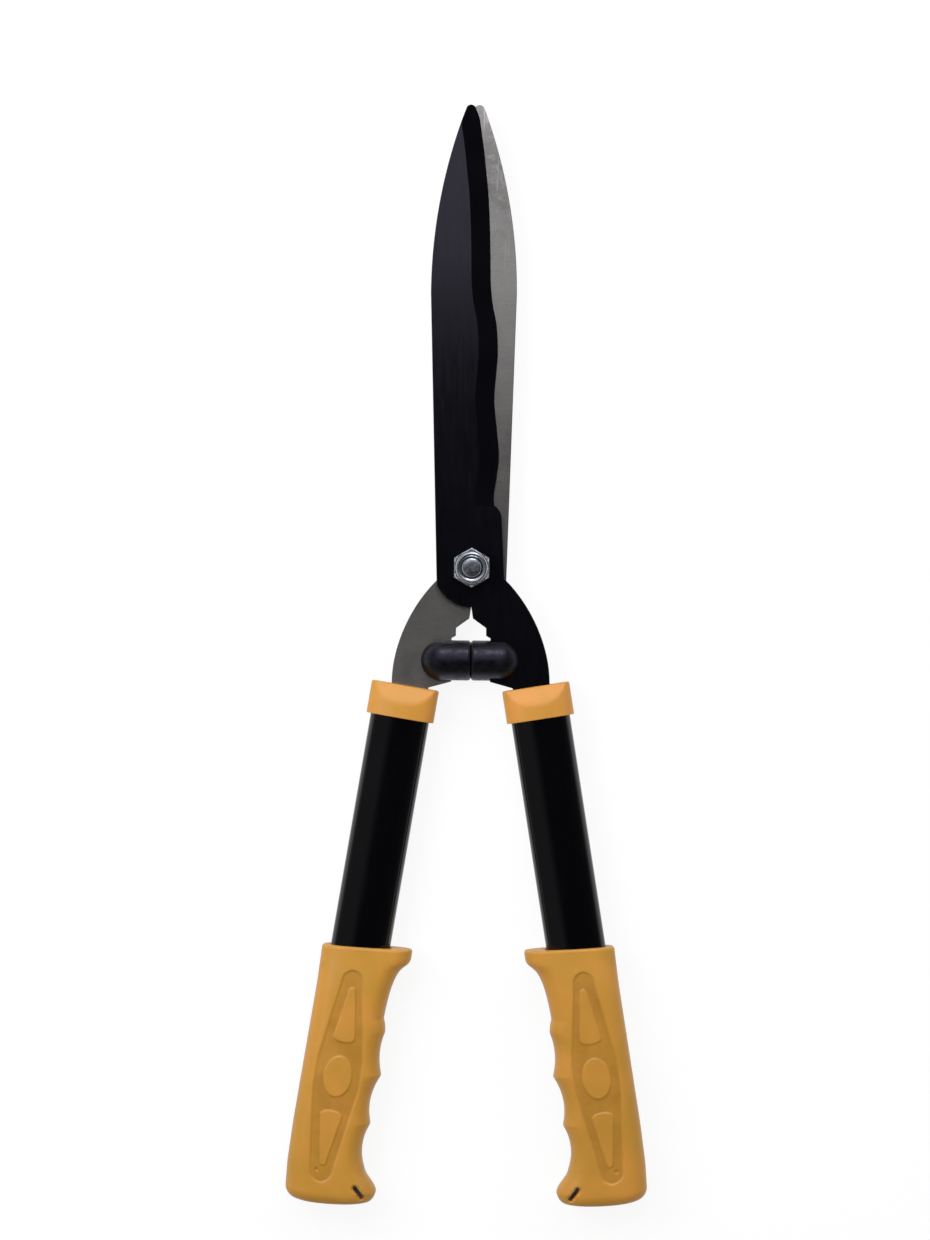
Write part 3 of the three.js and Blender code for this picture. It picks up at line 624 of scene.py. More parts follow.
def blade_runs():
    """The plate's outline in runs, anticlockwise from the top of the slit between the tangs."""
    def tang(across, along):
        return from_handle([(across, -along, 0)])[0][:2]

    # The spine is one arc through the belly. It runs into the round of the tip without a corner.
    tip_y = BLADE_LENGTH - TIP_RADIUS
    rise, inset = tip_y - BELLY_AT, SPINE_AT_BELLY - TIP_OFFSET
    radius = (inset ** 2 + rise ** 2 - TIP_RADIUS ** 2) / (2 * (inset - TIP_RADIUS))
    spine_x = radius - SPINE_AT_BELLY
    tip_turn = math.atan2(rise, -TIP_OFFSET - spine_x)
    boss_turn = math.pi + math.acos(SPINE_AT_PIVOT / BOSS_RADIUS)
    # The window has a slit at its top, a step, and the lug that the bumper sits on.
    slit, side, lug_end, root = 0.86 * MM, 7.4 * MM, 3.5 * MM, 9.5 * MM
    step = -33.2 * MM
    top = step + 3.8 * MM
    lug_high, lug_low = 4.3 * MM - BUMPER_AT, -4.3 * MM - BUMPER_AT
    # How far the tang reaches from the handle's axis: each way at the collar's mouth, then along
    # the tube, and at its tip.
    tang_outer, tang_inner, tang_side, tang_tip = 11.3 * MM, 7 * MM, 6.5 * MM, 3.5 * MM
    tang_corner = TANG_END - 3 * MM
    mouth = tang(tang_inner, TANG_MOUTH)
    window = [
        (0, -BOSS_RADIUS), (slit, top + 4.7 * MM), (side - 0.05 * MM, top), (side, step),
        (root, step - 1.2 * MM), (root, lug_high), (lug_end, lug_high), (lug_end, lug_low),
        (root, lug_low), (root, -(BUMPER_AT + BUMPER_RADIUS + 0.6 * MM)),
        tang(-tang_outer, TANG_MOUTH), tang(-tang_side, tang_corner), tang(-tang_tip, TANG_END),
        tang(tang_tip, TANG_END), tang(tang_side, tang_corner), mouth,
    ]
    foot = np.array((16.2 * MM, -5.3 * MM))
    shoulder = 14.7 * MM
    return {
        "window": np.array(window),
        "waist": bezier(
            [mouth, mouth + (0, 16.15 * MM), foot + (14.4 * MM, -13.99 * MM), foot], 50,
        ),
        "corner": bezier([
            (shoulder, LEDGE_AT - 7.4 * MM), (shoulder, LEDGE_AT - 3 * MM),
            (EDGE_AT_LEDGE, LEDGE_AT),
        ], 16),
        "edge": cutting_edge(),
        "tip": arc((-TIP_OFFSET, tip_y), TIP_RADIUS, 0, tip_turn, 24),
        "spine": arc((spine_x, BELLY_AT), radius, tip_turn, math.pi, 90),
        "boss": arc((0, 0), BOSS_RADIUS, boss_turn, 1.5 * math.pi, 40),
    }


def filled(loops, corners, links):
    """Triangles that fill the first loop but for the others, with the links as edges."""
    corners = [Vector(c) for c in corners]
    places, _, triangles, origins, *_ = delaunay_2d_cdt(corners, links, [], 0, 1e-8)
    if len(places) != len(corners):
        raise RuntimeError("two lines of a blade's face cross")
    triangles = np.array(triangles)
    middles = np.array([v[:] for v in places])[triangles].mean(1)
    keep = signed_distance(middles, loops[0]) > 0
    for loop in loops[1:]:
        keep &= signed_distance(middles, loop) < 0
    return np.array([ids[0] for ids in origins])[triangles[keep]]


def blade_rims(broken):
    """Each rim of the plate, the same drawn in by its broken edge, and the break; and its runs."""
    outline, in_bevel, starts = [], [], {}
    for run, points in blade_runs().items():
        keep = points[1:] if outline and np.allclose(points[0], outline[-1], atol=1e-7) else points
        starts[run] = len(outline)
        outline += list(keep)
        in_bevel += [run in ("edge", "tip")] * len(keep)
    outline = np.array(outline[:-1])
    # The ground edge is only stoned, so it is broken far less than the rest.
    breaks = np.where(in_bevel[:-1], 0.08 * MM, broken)
    rims = [(outline, drawn_in(outline, breaks), breaks)]
    pin_hole = from_handle([(0, -PIN_AT, 0)])[0][:2]
    for centre, radius, steps in ((np.zeros(2), HOLE_RADIUS, 72), (pin_hole, PIN_HOLE_RADIUS, 32)):
        rim = arc(centre, radius, 0, -2 * math.pi, steps)[:-1]
        breaks = np.full(len(rim), broken)
        rims.append((rim, drawn_in(rim, breaks), breaks))
    return rims, starts


def ground_face(corners, links, rim, ledge, width):
    """Corners and links of the outer face, with the ledge and the grind line drawn into it."""
    (ledge_start, high), (ledge_end, low) = ledge
    edge = cutting_edge()
    # What is drawn in keeps a little clear of the rim, and the line ends at the rim's next corner.
    ground = edge[edge[:, 1] > low + 0.3 * MM]
    line = ground - (width, 0)
    line = line[signed_distance(line, rim) > 0.25 * MM]
    nearest = np.linalg.norm(rim - line[-1] - (0, 0.4 * MM), axis=1).argmin()
    ledge_x = np.interp(low, edge[:, 1], edge[:, 0]) - width
    first = len(corners)
    corners = [*corners, (ledge_x, high), (ledge_x, low), *line]
    links = [*links, (ledge_start, first), (ledge_end, first + 1), (first, first + 1)]
    links += [(i, i + 1) for i in range(first + 1, len(corners) - 1)]
    links.append((len(corners) - 1, int(nearest)))
    # Rows between the line and the edge keep the slope's triangles even.
    for share in (0.25, 0.5, 0.75):
        row = ground[::2] - (width * share, 0)
        corners += list(row[signed_distance(row, rim) > 0.35 * MM])
    return np.array(corners), links


def blade_piece(name, side, settings, materials):
    """One blade with its tang: a plate with a ground bevel, its edges broken and its holes cut."""
    width, land = settings.bevel_width, settings.bevel_land
    rims, starts = blade_rims(settings.edge_round)
    loops = [loop for _, loop, _ in rims]
    edge = cutting_edge()
    # The ledge, where the grinder stops, ends where the cutting edge starts.
    ledge_end = starts["edge"] - 1
    low = loops[0][ledge_end, 1]
    corner_rows = np.arange(starts["corner"], ledge_end)
    ledge_start = corner_rows[
        np.abs(loops[0][corner_rows, 1] - (low - settings.ledge_width)).argmin()
    ]
    high = loops[0][ledge_start, 1]

    def outer_height(points):
        """The outer face: flat, but for the grinder's slope above the ledge."""
        x, y = points[:, 0], points[:, 1]
        slope = (PLATE_OUTER - PLATE_INNER - land) / width
        ground = PLATE_INNER + land + slope * (np.interp(y, edge[:, 1], edge[:, 0]) - x)
        share = np.clip((y - high) / (low - high), 0, 1)
        return PLATE_OUTER + (np.minimum(PLATE_OUTER, ground) - PLATE_OUTER) * share

    flat, links = [], []
    for loop in loops:
        start = len(flat)
        flat += list(loop)
        links += [(start + i, start + (i + 1) % len(loop)) for i in range(len(loop))]
    ledge = ((ledge_start, high), (ledge_end, low))
    outer, outer_links = ground_face(flat, links, loops[0], ledge, width)
    flat = np.array(flat)
    points = [
        *np.column_stack((outer, outer_height(outer))),
        *np.column_stack((flat, np.full(len(flat), PLATE_INNER))),
    ]
    faces = filled(loops, outer, outer_links).tolist()
    slots = [0] * len(faces)
    faces += (len(outer) + filled(loops, flat, links)[:, ::-1]).tolist()
    slots += [1] * (len(faces) - len(slots))
    # Each rim joins the faces over two broken edges. Its last band belongs to the inner face.
    offset = 0
    for rim, _, breaks in rims:
        size = len(rim)
        around = np.arange(size)
        upper = len(points) + around
        rows = [offset + around, upper, upper + size, len(outer) + offset + around]
        points.extend(np.column_stack((rim, outer_height(rim) - breaks)))
        points.extend(np.column_stack((rim, np.full(size, PLATE_INNER) + breaks * 0.7)))
        for row, (above, below) in enumerate(zip(rows, rows[1:])):
            corners = (above, below, np.roll(below, -1), np.roll(above, -1))
            faces += np.column_stack(corners).tolist()
            slots += [1 if row == 2 else 0] * size
        offset += size
    return make_piece(name, in_place(points, side), faces, materials, slots, 8 * DEGREE)


# Pivot hardware

def hexagon_rings(across_flats, low, high, chamfer_high):
    """Rings of a hexagon whose corners are turned to a cone and whose upright edges are rounded."""
    edge_round, cone_width, soft, relief = 0.5 * MM, 1.2 * MM, 0.35 * MM, 0.05 * MM
    half_corner, steps = math.pi / 6, 30
    radius = (across_flats / 2 - edge_round) / math.cos(half_corner)
    outline = []
    for i in range(6):
        corner = i * math.pi / 3 + math.pi / 2
        middle, first, last = polar(radius, corner), corner - half_corner, corner + half_corner
        outline += list(arc(middle, edge_round, first, last, 6))
        a = outline[-1]
        b = polar(radius, corner + math.pi / 3) + polar(edge_round, last)
        outline += [a + (b - a) * k / steps for k in range(1, steps)]
    outline = np.array(outline)
    reach = np.linalg.norm(outline, axis=1)
    face_radius = reach.max() - cone_width
    over = np.clip((reach - face_radius) / (reach.max() - face_radius), 0, 1)
    drop = over * cone_width * math.tan(half_corner)

    def end(level, inward):
        """Rings from the upright side to the end face, with the edge between them rounded."""
        made = []
        for turn in np.linspace(0, math.pi / 2, 5):
            share = (reach - soft * (1 - math.cos(turn))) / reach
            down = drop + relief + soft * (1 - math.sin(turn))
            made.append(np.column_stack((outline * share[:, None], level + inward * down)))
        share = np.minimum(reach - soft - relief, face_radius - relief) / reach
        made.append(np.column_stack((outline * share[:, None], np.full(len(outline), level))))
        return made

    plain_top = [np.column_stack((outline, np.full(len(outline), high)))]
    rings = end(low, 1)[::-1] + (end(high, -1) if chamfer_high else plain_top)
    return rings, np.arctan2(outline[:, 1], outline[:, 0])


def nut_piece(settings, material):
    """The lock nut: a hexagon with a round collar that is crimped over its nylon ring."""
    low, high = NUT_LOW.z, NUT_HIGH.z
    hex_top = high - 3 * MM
    rings, turns = hexagon_rings(settings.across_flats, low, hex_top, True)
    # The collar in mm: radius and height above the hexagon, from its foot over the crimped lip.
    lip = 5.45
    collar = [
        (7.95, 0.0), (7.82, 0.12), (7.76, 0.35), (7.76, 2.1), (7.7, 2.36), (7.55, 2.6), (7.3, 2.8),
        (7.0, 2.95), (6.8, 3.0), (6.6, 2.99), (6.2, 2.9), (5.8, 2.77), (5.55, 2.62), (lip, 2.4),
    ]
    crown = [(r * MM, hex_top + z * MM) for r, z in collar]
    room, seat_radius, lead_in = 0.05 * MM, 6.8 * MM, 0.6 * MM
    seat = [
        (lip * MM, NYLON_HIGH.z + room), (seat_radius, NYLON_HIGH.z + room),
        (seat_radius, NYLON_LOW.z - room), (HOLE_RADIUS, NYLON_LOW.z - room),
        (HOLE_RADIUS, low + lead_in), (HOLE_RADIUS + lead_in, low),
    ]
    points, faces = closed_band([*rings, *spun_on(turns, crown + seat)])
    return make_piece("crimped_lock_nut", points, faces, [material], smooth_below=24 * DEGREE)


def washer_piece(settings, material):
    """The plain washer, with the edges that punching leaves."""
    low, high = WASHER_LOW.z, WASHER_HIGH.z
    # The punch leaves a wide soft edge where it goes in and a small one where it comes out.
    outer, inner, soft, small = settings.washer_width / 2, HOLE_RADIUS, 0.3 * MM, 0.1 * MM
    profile = [
        (inner + small, low), (outer - soft, low), (outer - soft * 0.3, low + soft * 0.3),
        (outer, low + soft), (outer, high - small), (outer - small, high),
        (inner + soft, high), (inner, high - soft), (inner, low + small),
    ]
    points, faces = closed_band(turned(profile, 96))
    return make_piece("plain_washer", points, faces, [material])


def new_tree(name, **inputs):
    """A Geometry Nodes tree with its sockets, what adds a node to it, and what it is given."""
    tree = bpy.data.node_groups.new(name, "GeometryNodeTree")
    tree.interface.new_socket("Geometry", in_out="OUTPUT", socket_type="NodeSocketGeometry")
    for kind, labels in inputs.items():
        for label in labels:
            tree.interface.new_socket(label, in_out="INPUT", socket_type=f"NodeSocket{kind}")
    node = partial(add_node, tree)
    return tree, node, node("NodeGroupInput").outputs


def end_tree(node, made, finish):
    """Makes a tree's instances real, sets their finish and hands them out."""
    real = node("GeometryNodeRealizeInstances", {"Geometry": made})
    finished = node("GeometryNodeSetMaterial", {"Geometry": real, "Material": finish})
    node("NodeGroupOutput", {"Geometry": finished})


def thread_tree():
    """A thread: a trapezoid swept along a helix."""
    tree, node, given = new_tree(
        "bolt_thread", Float=("Radius", "Length", "Pitch", "Depth"), Material=("Finish",),
    )
    turns = node("ShaderNodeMath", {0: given["Length"], 1: given["Pitch"]}, operation="DIVIDE")
    helix = node(
        "GeometryNodeCurveSpiral",
        {
            "Resolution": 48, "Rotations": turns, "Start Radius": given["Radius"],
            "End Radius": given["Radius"], "Height": given["Length"],
        },
    )
    upright = node("GeometryNodeSetCurveNormal", {"Curve": helix}, mode="Z_UP")
    root = node("ShaderNodeMath", {0: given["Pitch"], 1: 0.95}, operation="MULTIPLY")
    crest = node("ShaderNodeMath", {0: given["Pitch"], 1: 0.14}, operation="MULTIPLY")
    form = node(
        "GeometryNodeCurvePrimitiveQuadrilateral",
        {"Bottom Width": root, "Top Width": crest, "Height": given["Depth"], "Offset": 0.0},
        mode="TRAPEZOID",
    )
    ridge = node("GeometryNodeTransform", {"Geometry": form, "Rotation": (0, 0, -math.pi / 2)})
    sweep = node(
        "GeometryNodeCurveToMesh", {"Curve": upright, "Profile Curve": ridge, "Fill Caps": True},
    )
    end_tree(node, sweep, given["Finish"])
    return tree


def grow(name, tree, **values):
    """What a Geometry Nodes tree makes with the given inputs, as an object with a plain mesh."""
    obj = bpy.data.objects.new(name, bpy.data.meshes.new(name))
    bpy.context.scene.collection.objects.link(obj)
    modifier = obj.modifiers.new(name, "NODES")
    modifier.node_group = tree
    for item in tree.interface.items_tree:
        if item.in_out == "INPUT" and item.name in values:
            modifier[item.identifier] = values[item.name]
    settle(obj)
    if not obj.data.polygons:
        raise RuntimeError(f"{name}: its Geometry Nodes made nothing")
    return obj


def join(obj, other):
    """Adds another object's mesh to this one's."""
    work = bmesh.new()
    work.from_mesh(obj.data)
    work.from_mesh(other.data)
    work.to_mesh(obj.data)
    work.free()
    bpy.data.objects.remove(other)


def bolt_piece(settings, material):
    """The bolt: a hexagon head, a shank, and a thread that ends in a chamfer."""
    low, high = BOLT_LOW.z, BOLT_HIGH.z
    head, radius, fillet = 6.4 * MM, 5 * MM, 0.4 * MM
    rings, turns = hexagon_rings(settings.across_flats, low, head, False)
    core = radius - settings.thread_depth
    thread_low = head + 6 * MM
    # The rounded end in mm: how far in from the side and how far below the end. Its middle is
    # slightly dished.
    rounded = [(0.3, 1.1), (0.3, 0.62), (0.4, 0.4), (0.62, 0.2), (0.95, 0.05), (1.2, 0)]
    shank = [
        (radius + fillet, head), (radius, head + fillet), (radius, thread_low),
        (core, thread_low + 0.8 * MM), (core, high - 1.5 * MM),
        *((radius - inset * MM, high - down * MM) for inset, down in rounded),
        (1.2 * MM, high - 0.06 * MM),
    ]
    points, faces = skin([*rings, *spun_on(turns, shank)])
    bolt = make_piece("hexagon_bolt", points, faces, [material], smooth_below=24 * DEGREE)
    # The thread's foot is sunk a little into the core.
    sunk = 0.05 * MM
    thread = grow(
        "bolt_thread", thread_tree(), Radius=core + settings.thread_depth / 2 - sunk,
        Length=high - 1.15 * MM - thread_low, Pitch=settings.thread_pitch,
        Depth=settings.thread_depth + 0.1 * MM, Finish=material,
    )
    thread.data.transform(Matrix.Translation((0, 0, thread_low + 0.4 * MM)))
    join(bolt, thread)
    tidy_mesh(bolt, 24 * DEGREE)
    return bolt


# Bumpers

def tang_prism(outline):
    """A flat outline as thick as the plate with its gap on each face."""
    return prism(outline, PLATE_INNER - FIT_GAP, PLATE_OUTER + FIT_GAP)


def bumper_piece(name, side, settings, material):
    """A rubber cylinder with a domed end, slotted so that it straddles the tang."""
    face, length, radius = 0.01 * MM, BUMPER_LENGTH, BUMPER_RADIUS
    soft = settings.face_round
    corner = arc((radius - soft, face + soft), soft, -math.pi / 2, 0, 8)
    barrel = [(radius, z) for z in np.linspace(face + soft, length - radius, 8)[1:-1]]
    dome = arc((0, length - radius), radius, 0, math.pi / 2, 26)[:-1]
    points, faces = skin(turned([(radius - soft - 2 * MM, face), *corner, *barrel, *dome], 96))
    points = points[:, [2, 0, 1]] - (0, BUMPER_AT, 0)
    bumper = make_piece(name, in_place(points, side), faces, [material])
    # A wide slot takes the tang and a short one takes its lug: where each begins and ends across,
    # and half its width along.
    for near, far, half in ((9.2 * MM, 30 * MM, 12 * MM), (3.2 * MM, 9.25 * MM, 4.6 * MM)):
        low, high = -half - BUMPER_AT, half - BUMPER_AT
        slot, sides = tang_prism([(near, low), (far, low), (far, high), (near, high)])
        carve(bumper, (in_place(slot, side), sides))
    return bumper


# Handles

def cut_socket(obj, side, rows, smooth_below=30 * DEGREE):
    """Cuts a tube's oval socket, from distances along the handle and how much wider it is there."""
    half_width, half_depth = TUBE_SOCKET
    turns = even_turns(half_width, half_depth, OVAL_POWER, 160)
    rings = []
    for along, wider in rows:
        x, z = oval(half_width + wider, half_depth + wider, OVAL_POWER, turns)
        rings.append(np.column_stack((x, np.full_like(x, -along), z)))
    carve(obj, on_handle(skin(rings), side), smooth_below)


def collar_piece(name, side, settings, material):
    """The ferrule: an oval band with a sloping facet on each face and a slot for the tang."""
    half_width, half_depth, soft = 16.65 * MM, 9.7 * MM, settings.rim_round
    row_step, edge_break, blend = 0.3 * MM, 0.3 * MM, 0.8 * MM
    turns = even_turns(half_width, half_depth, OVAL_POWER, 192)
    rim = arc((soft, -soft), soft, math.pi, math.pi / 2, 6)
    rows = [(COLLAR_TOP + along, draw) for along, draw in rim]
    middle = np.arange(COLLAR_TOP + soft + row_step, COLLAR_END - 0.5 * MM, row_step)
    rows += [(along, 0) for along in middle]
    rows += [
        (COLLAR_END - edge_break, 0), (COLLAR_END - 0.09 * MM, -0.09 * MM),
        (COLLAR_END, -edge_break),
    ]
    rings = []
    for along, draw in rows:
        x, z = oval(half_width + draw, half_depth + draw, OVAL_POWER, turns)
        facet = settings.facet_depth * (1 - (along - COLLAR_TOP) / settings.facet_length)
        height = soft_least(np.abs(z), half_depth - facet + draw, blend)
        rings.append(np.column_stack((x, np.full_like(x, -along), np.sign(z) * height)))
    collar = make_piece(name, *on_handle(skin(rings), side), [material])
    top, outer, inner, end = 3 * MM - TANG_MOUTH, -11.6 * MM, 7.3 * MM, 6.8 * MM
    slot = tang_prism([
        (outer, top), (outer, -TANG_MOUTH), (-end, -TANG_END), (end, -TANG_END),
        (inner, -TANG_MOUTH), (inner, top),
    ])
    carve(collar, on_handle(slot, side))
    cut_socket(collar, side, [(TUBE_TOP - FIT_GAP, 0), (COLLAR_END + 3 * MM, 0)])
    return collar


def tube_tree():
    """An oval tube: its wall's long section, swept round a full oval."""
    tree, node, given = new_tree(
        "oval_tube",
        Float=("Half Width", "Half Depth", "Wall", "Length", "Fullness", "Edge Round"),
        Int=("Steps",), Material=("Finish",),
    )
    circle = node("GeometryNodeCurvePrimitiveCircle", {"Resolution": 1440, "Radius": 1.0})
    place = node("ShaderNodeSeparateXYZ", {0: node("GeometryNodeInputPosition")}).outputs
    bend = node("ShaderNodeMath", {0: 2.0, 1: given["Fullness"]}, operation="DIVIDE")
    half_wall = node("ShaderNodeMath", {0: given["Wall"], 1: 0.5}, operation="MULTIPLY")
    reach = {}
    for axis, size in (("X", "Half Width"), ("Y", "Half Depth")):
        plain = node("ShaderNodeMath", {0: place[axis]}, operation="ABSOLUTE")
        bent = node("ShaderNodeMath", {0: plain, 1: bend}, operation="POWER")
        sign = node("ShaderNodeMath", {0: place[axis]}, operation="SIGN")
        signed = node("ShaderNodeMath", {0: bent, 1: sign}, operation="MULTIPLY")
        middle = node("ShaderNodeMath", {0: given[size], 1: half_wall}, operation="SUBTRACT")
        reach[axis] = node("ShaderNodeMath", {0: signed, 1: middle}, operation="MULTIPLY")
    there = node("ShaderNodeCombineXYZ", reach)
    ring = node("GeometryNodeSetPosition", {"Geometry": circle, "Position": there})
    even = node("GeometryNodeResampleCurve", {"Curve": ring, "Count": given["Steps"]})
    upright = node("GeometryNodeSetCurveNormal", {"Curve": even}, mode="Z_UP")
    wall = node(
        "GeometryNodeCurvePrimitiveQuadrilateral",
        {"Width": given["Wall"], "Height": given["Length"]}, mode="RECTANGLE",
    )
    rounded = node(
        "GeometryNodeFilletCurve", {"Curve": wall, "Radius": given["Edge Round"], "Count": 3},
        mode="POLY",
    )
    sweep = node("GeometryNodeCurveToMesh", {"Curve": upright, "Profile Curve": rounded})
    end_tree(node, sweep, given["Finish"])
    return tree


def tube_piece(name, side, settings, tree, material):
    """One handle tube, laid along its handle's axis."""
    tube = grow(
        name, tree, **{
            "Half Width": settings.tube_width / 2, "Half Depth": settings.tube_depth / 2,
            "Wall": settings.tube_wall, "Length": TUBE_END - TUBE_TOP, "Fullness": OVAL_POWER,
            "Edge Round": 0.3 * MM, "Steps": 144, "Finish": material,
        },
    )
    points = np.array([v.co for v in tube.data.vertices])
    laid = np.column_stack((points[:, 0], points[:, 2] - (TUBE_TOP + TUBE_END) / 2, -points[:, 1]))
    tube.data.vertices.foreach_set("co", in_place(from_handle(laid), side).ravel())
    tube.data.update()
    # The edge round stays out of the shading, or it would tilt the long sides' reflections.
    tidy_mesh(tube, 12 * DEGREE)
    return tube


# Grips

def blunted(values, reach):
    """A line of values whose corners are blunted over that many steps each way."""
    window = np.hanning(2 * reach + 1)
    return np.convolve(np.pad(values, reach, mode="edge"), window / window.sum(), mode="valid")


def grip_lines():
    """Distances along the handle, and how far the finger side and the back reach from its axis."""
    fingers = [(GRIP_TOP - 1 * MM, HALF_TUBE + 1.06 * HORN_HEIGHT)]
    for curve in FINGER_CURVES:
        ends = [(GRIP_TOP + a * GRIP_LENGTH, HALF_TUBE + r * HORN_HEIGHT) for a, r in curve]
        fingers += list(bezier(ends, 80)[:-1])
    fingers.append((GRIP_END, HALF_TUBE + 1.24 * HORN_HEIGHT))
    back = HALF_TUBE + 3.5 * MM
    spine = [
        (GRIP_TOP, back + 0.6 * MM), (GRIP_TOP + 18 * MM, back), (GRIP_END - 39 * MM, back),
        (GRIP_END - 18 * MM, back - 0.5 * MM), (GRIP_END, back - 2.1 * MM),
    ]
    along = np.linspace(GRIP_TOP, GRIP_END, 1265)
    # The mould's ridges are a little blunt on the finger side, and the back bends slowly.
    reach = blunted(np.interp(along, *np.array(fingers).T), 9)
    palm = blunted(np.interp(along, *np.array(spine).T), 60)
    return along, reach, palm


def panel_outlines():
    """The recessed panel and its three pads, and the lanyard slot, in the handle's frame."""
    shares = (0.087, 0.435, 0.553, 0.917)
    top, waist, waist_end, end = (-(GRIP_TOP + share * GRIP_LENGTH) for share in shares)
    half, radius, end_radius, off_axis = 11.7 * MM, 5.5 * MM, 6.1 * MM, 0.8 * MM
    panel = np.vstack((
        arc((off_axis, top - radius), radius, 0, math.pi, 24), [(-half, waist), (-half, waist_end)],
        arc((off_axis / 2, end + end_radius), end_radius, math.pi, 2 * math.pi, 24),
        [(half, waist_end), (half, waist)],
    ))
    # Two long pads widen toward the middle, and an oval one lies between them.
    pads, half_pad, pad_tip, pad_round = [], 5.3 * MM, 1.5 * MM, 3 * MM
    for start, way in ((top, 1), (end, -1)):
        narrow, wide = start - way * 10.1 * MM, start - way * 35.6 * MM
        near = wide + way * pad_round
        pads.append(np.vstack((
            arc((0, narrow), pad_tip, 0, way * math.pi, 12),
            bezier([(-half_pad, near), (-half_pad, wide), (0, wide)], 10),
            bezier([(0, wide), (half_pad, wide), (half_pad, near)], 10),
        )))
    turns = np.linspace(0, 2 * math.pi, 64, endpoint=False)
    middle = (top + end) / 2
    pads.append(np.column_stack((7 * MM * np.cos(turns), middle + 10 * MM * np.sin(turns))))
    # The slot lies at 45 degrees across the heel.
    straight, round_end = 2.8 * MM, 1.4 * MM
    slot = np.vstack((
        arc((straight, 0), round_end, -math.pi / 2, math.pi / 2, 16),
        arc((-straight, 0), round_end, math.pi / 2, 1.5 * math.pi, 16),
    ))
    slot = slot @ np.array(((1, 1), (-1, 1))) * math.sqrt(0.5)
    slot += (-(HALF_TUBE + 1.3 * HORN_HEIGHT) + 8.3 * MM, 8.6 * MM - GRIP_END)
    return panel, pads, slot


def grip_rows():
    """Distances along the grip and how much each section is drawn in, from the mouth to the end."""
    top_round, end_round = 1.4 * MM, 5.8 * MM
    end_start = GRIP_END - end_round
    rows = [
        (GRIP_TOP + top_round * (1 - math.cos(a)), top_round * (1 - math.sin(a)))
        for a in np.linspace(0, math.pi / 2, 7)
    ]
    rows += [(a, 0) for a in np.linspace(GRIP_TOP + top_round, end_start, 306)[1:-1]]
    rows += [
        (end_start + end_round * math.sin(a), end_round * (1 - math.cos(a)))
        for a in np.linspace(0, math.pi / 2, 17)
    ]
    return np.array(rows)


def grip_rings(settings, relief=0):
    """Rings of the grip across its axis, with the relief pressed in."""
    along_line, finger_line, back_line = grip_lines()
    turns = even_turns(19 * MM, 12 * MM, GRIP_POWER, 232)
    rows = grip_rows()
    along, inset = rows[:, :1], rows[:, 1:]
    # The end's corner is tighter on the finger side and on the faces than at the back.
    fingers = np.interp(along, along_line, finger_line) - inset * 0.55 - relief
    back = np.interp(along, along_line, back_line) - inset - relief
    # The grip is thinner at its mouth.
    mouth, swell = 22 * MM, smoothstep(GRIP_TOP, GRIP_TOP + 24 * MM, along)
    thickness = mouth + (settings.grip_thickness - mouth) * swell
    half_depth = thickness / 2 - inset * 0.7 - relief
    x, z = oval(1, 1, GRIP_POWER, turns[None, :])
    across = (back - fingers) / 2 + x * (back + fingers) / 2
    # The faces are a little flatter than the oval.
    up = np.sign(z) * soft_least(np.abs(z) * half_depth * 1.08, half_depth, 0.08 * half_depth)
    # The sections slant, and the end is crowned.
    share = (along - GRIP_TOP) / GRIP_LENGTH
    lean = 0.1 - 0.055 * share
    rise = np.minimum(across / (back + fingers) * 2, 1) ** 2
    crown = 1.4 * MM * smoothstep(0.8, 1, share) * rise
    return np.stack((across, -along - lean * across + crown, up), axis=2)


def grip_relief(bare, settings, panel, pads, slot):
    """How deep each point of the bare grip is pressed in, and how far it lies in the hollow."""
    flat = bare[:, :, :2].reshape(-1, 2)
    wall, lip, dimple_depth = settings.panel_wall, 0.8 * MM, 0.45 * MM
    pressed = smoothstep(0, 1, signed_distance(flat, panel) / wall)
    raised = np.zeros(len(flat))
    for pad in pads:
        raised = np.maximum(raised, smoothstep(-0.5, 0.5, signed_distance(flat, pad) / wall))
    hollow = pressed * (1 - raised * settings.pad_height)
    relief = settings.panel_depth * hollow
    # The slot's lip is a quarter round.
    away = np.clip(-signed_distance(flat, slot) / lip, 0, 1)
    relief = relief + lip * (1 - np.sqrt(1 - (1 - away) ** 2)) * (away < 1)
    # The mould's ejector pin leaves a small dimple near the panel's end.
    dimple = np.linalg.norm(flat - (2.8 * MM, -297.8 * MM), axis=1)
    relief = relief + dimple_depth * smoothstep(1.2 * MM, 0.7 * MM, dimple)
    # Only the two faces are pressed, not the sides between them.
    relief = np.where(np.abs(bare[:, :, 2].ravel()) > 5 * MM, relief, 0)
    return relief.reshape(bare.shape[:2]), hollow


